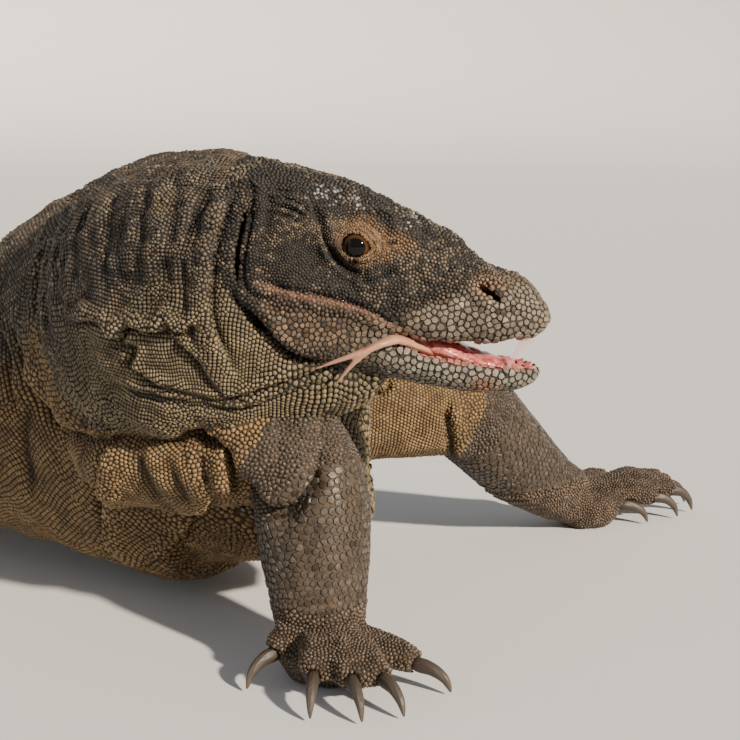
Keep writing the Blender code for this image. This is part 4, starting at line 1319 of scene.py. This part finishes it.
class Marks:
    """The colour of each scale's top and of the seam round it, laid on region by region."""

    def __init__(self, points, home):
        self.points, self.home, self.low = points, home, underneath(points)
        self.fine, self.broad = mottle(points, 0.006, 1), mottle(points, 0.045, 2)
        self.specks, self.patchy = mottle(points, 0.0025, 3), mottle(points, 0.018, 4)
        self.measures = in_head(points)
        self.back, right, self.up = self.measures.T
        self.head = part_mask(home, "head", "lower_jaw")
        self.beside = self.head * (abs(right) > 0.08)
        self.lip = lip_line(self.back)
        self.plates = self.head * on_plates(self.back, self.up)

    def lay(self, share, top, seam_share=None, seam=None):
        self.crown = mixed(share, self.crown, top)
        if seam:
            self.ground = mixed(seam_share, self.ground, seam)

    def spot(self, *place):
        return near_spot(self.back, self.up, *place)

    def along_lips(self, over, half, starts, ends):
        """A line that follows the shut lips, this far over them. It begins and ends between these places."""
        shut = np.interp(self.back, *np.array(SHUT_LIPS).T)
        line = self.beside * np.exp(-(((self.up - shut - over) / half) ** 2))
        return line * toward(self.back, *starts) * (1 - toward(self.back, *ends))

    def trunk(self):
        dark = toward(self.fine + 0.6 * self.broad, 0.50, 1.10)
        self.crown = mixed(dark, np.array((0.045, 0.036, 0.029)), (0.115, 0.090, 0.062))
        self.ground = np.tile((0.016, 0.013, 0.011), (len(self.points), 1))
        flecks = 0.72 * toward(self.specks + 0.6 * (self.patchy - 0.5), 0.58, 0.92)
        self.lay(flecks, (0.27, 0.212, 0.145))
        self.crown *= 1 + (mottle(self.points, 0.009, 5) - 0.5)[:, None] * (0.30, 0.05, -0.25)
        tan = tone((0.215, 0.165, 0.092), 0.65, 0.7, self.fine)
        tan = mixed(0.5 * toward(self.patchy, 0.45, 0.85), tan, (0.095, 0.075, 0.048))
        self.lay(0.9 * toward(self.low + 0.30 * (self.broad - 0.5), 0.52, 0.80), tan)
        gold = tone((0.250, 0.162, 0.074), 0.60, 0.8, self.fine)
        gold = mixed(0.55 * toward(self.patchy, 0.50, 0.90), gold, (0.13, 0.085, 0.042))
        golden = part_mask(self.home, "chest", "belly", "upper", "thigh", "pelvis")
        golden = golden * toward(self.low + 0.35 * (self.broad - 0.5), 0.30, 0.60)
        self.lay(0.92 * golden, gold, golden, (0.045, 0.027, 0.013))

    def limbs(self):
        limb, foot = part_mask(self.home, *WORN_LIMBS), part_mask(self.home, "forefoot", "hindfoot")
        slate = tone((0.066, 0.055, 0.047), 0.25, 1.4, self.specks)
        self.lay(0.92 * limb, slate, limb, (0.060, 0.042, 0.028))
        brown = tone((0.135, 0.092, 0.060), 0.5, 1.0, self.fine)
        self.lay(0.7 * foot, brown, 0.8 * foot, (0.026, 0.018, 0.012))

    def face(self):
        temple = self.spot(0.87, 0.09, 0.12, 0.11)
        pale = toward(self.specks + 1.1 * (self.patchy - 0.5) + 0.12 * temple, 0.60, 0.95)
        pale = 0.85 * pale * (0.4 + 0.9 * self.fine)
        face = mixed(pale, np.array((0.026, 0.023, 0.020)), (0.20, 0.155, 0.105))
        self.lay(self.head, mixed(0.6 * temple, face, face * (1.25, 1.1, 0.95)))

    def snout(self):
        plate = tone((0.22, 0.185, 0.138), 0.40, 1.05, self.fine)
        rosy = 0.5 * toward(self.patchy, 0.5, 0.8) * (self.up > self.lip - 0.02)
        plate = mixed(rosy, plate, (0.26, 0.165, 0.110))
        below = toward(self.lip - 0.055 - self.up, 0.0, 0.09)
        plate = mixed(below, plate, tone((0.135, 0.115, 0.085), 0.5, 1.0, self.fine))
        self.lay(0.95 * self.plates * (0.75 + 0.25 * toward(0.5 - self.back, 0.0, 0.2)), plate)
        rim = self.head * np.exp(-(((self.up - self.lip + 0.062) / 0.028) ** 2))
        rim = rim * (1 - toward(self.back, 0.42, 0.56))
        self.lay(0.6 * rim, (0.27, 0.26, 0.225), self.plates, (0.032, 0.026, 0.020))

    def cheeks(self):
        cheek = np.clip(1.4 * (self.head * self.spot(0.76, -0.14, 0.15, 0.075)), 0, 1)
        self.lay(0.8 * cheek, tone((0.20, 0.125, 0.078), 0.15, 1.5, self.specks**1.5))
        seam = self.along_lips(0.024, 0.013, (0.42, 0.48), (0.90, 0.98))
        self.lay(0.9 * seam, (0.012, 0.010, 0.009), 0.8 * seam, (0.008, 0.007, 0.006))
        band = self.along_lips(0, 0.0085, (0.42, 0.50), (0.86, 0.96))
        self.lay(0.75 * band, (0.24, 0.140, 0.095), 0.7 * band, (0.17, 0.090, 0.060))

    def small_marks(self):
        stain = self.head * self.spot(0.16, -0.235, 0.040, 0.035) * (0.5 + self.specks)
        self.lay(np.clip(stain, 0, 0.8), (0.24, 0.085, 0.035))
        nostril = self.head * self.spot(0.225, 0.095, 0.045, 0.028)
        self.lay(0.7 * nostril, (0.42, 0.24, 0.14))
        # painted highlights on top of the head
        highlight = self.head * (self.specks > 0.62) * sum(self.spot(*place, 0.022, 0.020) for place in HIGHLIGHT_SPOTS)
        self.lay(np.clip(highlight, 0, 0.8), (0.42, 0.43, 0.46))

    def lids(self):
        rear = toward(self.back - 0.8 * (self.up - EYE_UP), EYE_BACK - 0.01, EYE_BACK + 0.09)
        lids = self.beside * np.clip(1.45 - lids_reach(self.points), 0, 1) * (1 - 0.6 * rear)
        lids = np.maximum(lids, self.beside * self.spot(0.545, 0.170, 0.045, 0.028))
        lids = np.clip(1.3 * lids * (0.5 + 1.0 * self.fine), 0, 1)
        self.lay(lids, (0.27, 0.160, 0.080), 0.5 * lids, (0.12, 0.07, 0.04))

    def mouth(self):
        mouth = np.clip(3 * in_mouth(self.measures, 0.012) - 2.4, 0, 1) * self.head
        wet = mixed(toward(self.up, -0.14, -0.06), np.array((0.58, 0.20, 0.18)), (0.30, 0.025, 0.022))
        self.crown, self.ground = mixed(mouth, self.crown, wet), mixed(mouth, self.ground, wet)


def markings(points, home):
    marks = Marks(points, home)
    for layer in (marks.trunk, marks.limbs, marks.face, marks.snout, marks.cheeks, marks.small_marks,
                  marks.lids, marks.mouth):
        layer()
    return marks.crown, marks.ground


# Painted shade in the grooves and painted light on the ridges, carried from the hide to the scales.
shade = at_spots(np.clip(1 + 380 * height_over, 0.30, 1.45) * (1 - 0.72 * groove_shade), spots)
scale_homes = homes[triangles[faces][:, 0]]
crowns, grounds = markings(roots, scale_homes)
# The scale tops take the painted shade and light, and the lids' painted shade.
crowns *= (0.82 * shade * lid_shade)[:, None]
glosses = part_mask(scale_homes, *WORN_LIMBS).astype(float)  # worn smooth


# ---------------------------------------------------------------- scales
# Each scale is a small bead or a flatter plate of hard rubber, set into the hide by a rim that lies under
# the skin. It stands higher where it is a bead, and never so high that it would press through the floor.
on_head_plate = (owners == HEAD_BAND) & (pitches > 0.0040)
plated = np.isin(owners, PLATED) | on_head_plate
PLATE_RISE, BEAD_RISE, MOST_RISE = 0.20, 0.44, 0.0022  # shares of the pitch, and metres
rises = pitches * np.where(plated, PLATE_RISE, BEAD_RISE) * rng.uniform(0.7, 1.25, len(roots))
rises[owners == HEAD_BAND] *= rng.uniform(0.6, 1.35, (owners == HEAD_BAND).sum())
over_floor = np.clip(roots[:, 2] - 0.0002, 0.0001, None) / np.maximum(-ups[:, 2], 0.02)
rises = np.minimum(np.minimum(rises, MOST_RISE), over_floor)


def scale_finish():
    made = Finish("scales", 0.55)
    made.set(Specular_IOR_Level=0.28)
    grain = made.grain(0.0009, 3)
    share = made.range(made.attribute("tall") + grain * 0.35, 0.28, 0.95)
    colour = made.blend(share, made.attribute("ground", "Vector"), made.attribute("crown", "Vector"))
    grime = made.range(made.grain(0.004), 0.35, 0.7)
    colour = made.blend(grime * 0.45, colour, (0.05, 0.042, 0.035), "MULTIPLY")
    dull = made.range(grain, 0.2, 0.8, 0.42, 0.68)
    made.set(Base_Color=colour, Roughness=dull - made.attribute("gloss") * 0.16)
    made.set(Normal=made.bump(grain, 0.0004, 0.5))
    return made.material


def blank_scale(name, shoulder, height):
    """One scale over a unit cell: its rim just under the skin, a shoulder this far out and this high, and the
    crown. Each corner knows its spoke."""
    turns = [math.tau * k / SPOKES for k in range(SPOKES)]
    corners = [(share * math.cos(turn), share * math.sin(turn), lift)
               for share, lift in ((1.0, -0.25), (shoulder, height)) for turn in turns] + [(0, 0, 1)]
    sides = []
    for k in range(SPOKES):
        after = (k + 1) % SPOKES
        sides += [(k, after, SPOKES + after), (k, SPOKES + after, SPOKES + k)]
        sides.append((SPOKES + k, SPOKES + after, 2 * SPOKES))
    mesh = bpy.data.meshes.new(name)
    mesh.from_pydata(corners, [], sides)
    spokes = np.array([*range(SPOKES), *range(SPOKES), -1])
    for half in (0, 1):
        on_spoke = np.stack([spokes == 3 * half + k for k in range(3)], axis=1)
        store(mesh, f"spokes_{half}", on_spoke.astype(float))
    store(mesh, "blank", np.array(corners))
    return bpy.data.objects.new(name, mesh)


class Growth:
    """A small Geometry Nodes tree that grows the blank at every root."""

    def __init__(self, name):
        self.group = bpy.data.node_groups.new(name, "GeometryNodeTree")
        self.sockets = {}
        for label, kind in (("Roots", "Geometry"), ("Blank", "Object"), ("Fill", "Float"), ("Patch", "Float"),
                            ("Finish", "Material"), ("Rounded", "Bool")):
            made = self.group.interface.new_socket(label, in_out="INPUT", socket_type="NodeSocket" + kind)
            self.sockets[label] = made.identifier
        self.group.interface.new_socket("Scales", in_out="OUTPUT", socket_type="NodeSocketGeometry")
        self.given = self.group.nodes.new("NodeGroupInput")

    def node(self, kind, settings=None, **inputs):
        made = self.group.nodes.new(kind)
        for setting, value in (settings or {}).items():
            setattr(made, setting, value)
        for socket, value in inputs.items():
            socket = made.inputs[int(socket[1:])] if socket[0] == "_" else made.inputs[socket]
            if isinstance(value, bpy.types.NodeSocket):
                self.group.links.new(value, socket)
            else:
                socket.default_value = value
        return made

    def named(self, name, kind="FLOAT_VECTOR"):
        return self.node("GeometryNodeInputNamedAttribute", {"data_type": kind}, Name=name).outputs[0]

    def keep(self, geometry, name, kind, domain, value):
        settings = {"data_type": kind, "domain": domain}
        inputs = {"Geometry": geometry, "Name": name, "Value": value}
        return self.node("GeometryNodeStoreNamedAttribute", settings, **inputs).outputs[0]

    def vector(self, operation, first, second):
        made = self.node("ShaderNodeVectorMath", {"operation": operation}, _0=first, _1=second)
        return made.outputs["Value" if operation == "DOT_PRODUCT" else "Vector"]

    def times(self, vector, factor):
        return self.node("ShaderNodeVectorMath", {"operation": "SCALE"}, _0=vector, _3=factor).outputs[0]

    def number(self, operation, first, second):
        return self.node("ShaderNodeMath", {"operation": operation}, _0=first, _1=second).outputs[0]


def growth_tree():
    grow = Growth("grow_scales")
    given = grow.given.outputs
    blank = grow.node("GeometryNodeObjectInfo", Object=given["Blank"]).outputs["Geometry"]
    placed = grow.node("GeometryNodeInstanceOnPoints", Points=given["Roots"], Instance=blank).outputs[0]
    real = grow.node("GeometryNodeRealizeInstances", Geometry=placed).outputs[0]
    half = [grow.vector("DOT_PRODUCT", grow.named(f"spokes_{n}"), grow.named(f"reach_{n}")) for n in (0, 1)]
    reach = grow.number("MULTIPLY", grow.number("ADD", *half), given["Fill"])
    told = grow.node("ShaderNodeSeparateXYZ", Vector=grow.named("blank")).outputs
    lengthwise, sideways = grow.times(grow.named("lie"), told[0]), grow.times(grow.named("across"), told[1])
    flat = grow.vector("ADD", lengthwise, sideways)
    high = grow.times(grow.named("up"), grow.number("MULTIPLY", told[2], grow.named("rise", "FLOAT")))
    place = grow.vector("ADD", grow.vector("ADD", grow.times(flat, reach), high), grow.named("root"))
    shaped = grow.node("GeometryNodeSetPosition", Geometry=real, Position=place).outputs[0]
    patch = grow.vector("ADD", grow.named("unwrap"), grow.times(grow.named("blank"), given["Patch"]))
    mapped = grow.keep(shaped, "OFBake", "FLOAT2", "CORNER", patch)
    tall = grow.keep(mapped, "tall", "FLOAT", "POINT", told[2])
    rounded = grow.node("GeometryNodeSetShadeSmooth", _0=tall, _2=given["Rounded"]).outputs[0]
    done = grow.node("GeometryNodeSetMaterial", Geometry=rounded, Material=given["Finish"]).outputs[0]
    grow.group.links.new(done, grow.group.nodes.new("NodeGroupOutput").inputs[0])
    return grow


FILL, PATCH = 0.97, 0.0015  # how much of its cell a scale fills, and its half width on the unwrapped sheet
MARGIN = 0.015  # left free round the edge of that sheet
MOST_SCALES = 9500  # in one piece, before it is halved
scale_tree = growth_tree()
bead, plate = blank_scale("bead", 0.77, 0.70), blank_scale("plate", 0.80, 0.88)
finish_of_scales = scale_finish()


def keep_inside(mesh):
    """Nothing of the hide stands past the solid parts' box."""
    low, high = (np.array(corner) for corner in solid_box)
    move_to(mesh, np.clip(places_of(mesh), low + 0.0001, high - 0.0001))


def grow_piece(name, picked, blank):
    """The picked scales as one piece of plain mesh."""
    mesh = bpy.data.meshes.new(name)
    mesh.vertices.add(len(picked))
    move_to(mesh, roots[picked])
    along, turn = charts[picked, 0], np.arctan2(charts[picked, 2], charts[picked, 1])
    unwrap = np.stack([(along - along.min()) / np.ptp(along), turn / math.tau + 0.5, 0 * turn], axis=1)
    shape = {"root": roots, "up": ups, "lie": lies, "across": acrosses, "rise": rises,
             "reach_0": reaches[:, :3], "reach_1": reaches[:, 3:]}
    looks = {"crown": crowns, "ground": grounds, "gloss": glosses}
    for label, values in {**shape, **looks}.items():
        store(mesh, label, values[picked])
    store(mesh, "unwrap", unwrap * (1 - 2 * MARGIN) + MARGIN)
    made = link_mesh(name, mesh)
    grow = made.modifiers.new("grow", "NODES")
    grow.node_group = scale_tree.group
    for label, value in (("Blank", blank), ("Fill", FILL), ("Patch", PATCH), ("Finish", finish_of_scales),
                         ("Rounded", blank is bead)):
        grow[scale_tree.sockets[label]] = value
    settle(made)
    keep_inside(made.data)
    for label in (*shape, "unwrap", "spokes_0", "spokes_1", "blank"):
        made.data.attributes.remove(made.data.attributes[label])
    return made


def scale_pieces():
    """Groups of scales, each small enough for one piece, and the blank that each grows from."""
    names = [name for name, *_ in BANDS] + ["head", "feet", "joints"]
    left = charts[:, 2] < 0
    for number, name in enumerate(names):
        for kind, blank, some in (("scales", bead, ~plated), ("plates", plate, plated)):
            mine = (owners == number) & some
            if mine.sum() > MOST_SCALES:
                yield f"{name}_{kind}_right", np.flatnonzero(mine & ~left), blank
                yield f"{name}_{kind}_left", np.flatnonzero(mine & left), blank
            elif mine.any():
                yield f"{name}_{kind}", np.flatnonzero(mine), blank


for name, picked, blank in scale_pieces():
    made = grow_piece(name, picked, blank)
    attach(made, "root")


# The hide shows between the scales, in the nostrils and in the ears' slits. It ends as a lighter mesh than
# the one that the scales were set out on.
HIDE_TRIANGLES = 190000


def hide_finish():
    made = Finish("hide", 0.7)
    made.set(Specular_IOR_Level=0.2)
    grain = made.grain(0.0015, 3)
    made.set(Base_Color=made.attribute("ground", "Vector"), Normal=made.bump(grain, 0.0006, 0.6))
    return made.material


hide_colour = markings(places, homes)[1]
# Painted shade in the hide's grooves and painted light on its ridges.
hide_colour *= np.clip(1 + 300 * height_over, 0.4, 1.2)[:, None]
pits = bare * near_spot(*in_head(flat_places)[:, [0, 2]].T, 0.25, 0.09, 0.020, 0.012)
# The bare skin sunk in the ears' slits and the nostrils gets painted shade, near black; the nostrils' floor
# is orange.
hide_colour = mixed(bare, hide_colour, (0.010, 0.007, 0.005))
store(hide.data, "ground", mixed(pits, hide_colour, (0.42, 0.17, 0.05)))
thin = hide.modifiers.new("thin", "DECIMATE")
thin.ratio = HIDE_TRIANGLES / len(hide.data.loop_triangles)
settle(hide)
keep_inside(hide.data)
hide.data.materials.append(hide_finish())
hide.data.shade_smooth()
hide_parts(*FLESH)
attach(hide, "root")


# ---------------------------------------------------------------- tongue and mouth
# The tongue is one soft fork cast in silicone, wet, salmon at the root and darker at the tips. Under it lies
# the wet floor of the mouth, and one web of slime hangs at the front.
def tongue_finish():
    made = Finish("tongue", 0.34, coat=0.35)
    grain = made.grain(0.0016, 3)
    colour = made.blend(made.attribute("tip"), (0.42, 0.205, 0.130), (0.19, 0.100, 0.065))
    colour = made.blend(made.range(grain, 0.4, 0.75) * 0.35, colour, (0.25, 0.110, 0.075))
    made.set(Base_Color=colour, Normal=made.bump(grain, 0.0004, 0.6))
    return made.material


def flesh_finish():
    made = Finish("mouth_flesh", 0.28, coat=0.3)
    folds = made.grain(0.0045, 3)
    colour = made.blend(made.range(folds, 0.35, 0.65), (0.30, 0.050, 0.045), (0.50, 0.185, 0.160))
    made.set(Base_Color=colour, Normal=made.bump(folds, 0.0016, 0.8))
    return made.material


tongue = link_mesh("tongue_flesh", mesh_of(welded("tongue"), "tongue_flesh"))
fuse(tongue, 0.0007)
soften(tongue, 6)
settle(tongue)
spots = places_of(tongue.data)
ROOT_END = np.array(from_head((0.40, 0.09, -0.15)))
gap = np.linalg.norm(spots - ROOT_END, axis=1)
store(tongue.data, "tip", np.clip((gap / gap.max() - 0.35) / 0.65, 0, 1))
tongue.data.materials.append(tongue_finish())
tongue.data.shade_smooth()
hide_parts("tongue")
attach(tongue, "root")

FLOOR_ROWS = [  # back, height, half width, half height of the mouth's floor, in head measures
    (0.035, -0.168, 0.020, 0.008), (0.07, -0.166, 0.045, 0.014), (0.13, -0.162, 0.070, 0.020),
    (0.22, -0.160, 0.085, 0.026), (0.32, -0.150, 0.095, 0.032), (0.42, -0.140, 0.098, 0.032),
    (0.50, -0.130, 0.085, 0.022),
]
turns = [math.tau * k / 28 for k in range(28)]
mesh = lathe_rings("mouth_floor", [
    [from_head((back, wide * math.cos(turn), up + high * math.sin(turn))) for turn in turns]
    for back, up, wide, high in smooth_line(FLOOR_ROWS, 6)])
spots = places_of(mesh)
spots += normals_of(mesh) * ((mottle(spots, 0.0075, 71) - 0.6) * 0.0030)[:, None]
move_to(mesh, spots)
mouth_floor = link_mesh("mouth_floor", mesh, flesh_finish())
mesh.shade_smooth()
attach(mouth_floor, "root")


SLIME = [  # from the upper lip down: back, out to the right, height, half breadth and half thickness
    (0.056, 0.050, -0.048, 0.0050, 0.0004), (0.066, 0.054, -0.072, 0.0036, 0.0004),
    (0.078, 0.059, -0.100, 0.0022, 0.0004), (0.088, 0.063, -0.130, 0.0014, 0.0005),
    (0.096, 0.066, -0.156, 0.0014, 0.0005), (0.098, 0.066, -0.174, 0.0026, 0.0006),
]
rings = []
for back, out, up, broad, thick in smooth_line(SLIME, 5):
    rings.append([from_head((back, out, up)) + broad * math.cos(math.tau * k / 16) * np.array(AHEAD)
                  + thick * math.sin(math.tau * k / 16) * np.array(RIGHT) for k in range(16)])
slime = Finish("slime", 0.06, coat=1.0)
slime.set(Base_Color=(0.62, 0.36, 0.33), Alpha=0.36)
mesh = lathe_rings("slime_web", rings)
web = link_mesh("slime_web", mesh, slime.material)
mesh.shade_smooth()
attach(web, "root")


# ---------------------------------------------------------------- claws
# Horn sheaths, each cast over its own bone core: brown and scuffed at the root, worn paler towards the tip,
# with fine furrows along the horn.
def claw_finish():
    made = Finish("claw_horn", 0.48)
    made.set(Specular_IOR_Level=0.35)
    furrows = made.attribute("furrow")
    grain = made.grain(0.003, 4)
    colour = made.blend(made.attribute("tip"), (0.034, 0.025, 0.019), (0.080, 0.066, 0.053))
    colour = made.blend(made.range(grain + furrows * 0.3, 0.45, 0.9) * 0.6, colour, (0.040, 0.030, 0.024))
    made.set(Base_Color=colour, Normal=made.bump(furrows + grain * 0.5, 0.0004, 0.7))
    return made.material


horn = claw_finish()
for name in nodes:
    if not name.startswith("claw"):
        continue
    claw = link_mesh(name + "_horn", mesh_of(welded(name), name + "_horn"))
    rounder = claw.modifiers.new("rounder", "SUBSURF")
    rounder.levels = 2
    settle(claw)
    spots = places_of(claw.data)
    middle = spots.mean(axis=0)
    _, _, axes_of_claw = np.linalg.svd(spots - middle)
    long = (spots - middle) @ axes_of_claw[0]
    if spots[long.argmax(), 2] > spots[long.argmin(), 2]:
        long = -long
    store(claw.data, "tip", np.clip((long - long.min()) / np.ptp(long), 0, 1) ** 1.5)
    aside = (spots - middle) @ axes_of_claw[2]
    store(claw.data, "furrow", 0.5 + 0.5 * np.sin(aside * math.tau / 0.0022))
    claw.data.materials.append(horn)
    claw.data.shade_smooth()
    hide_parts(name)
    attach(claw, "root")
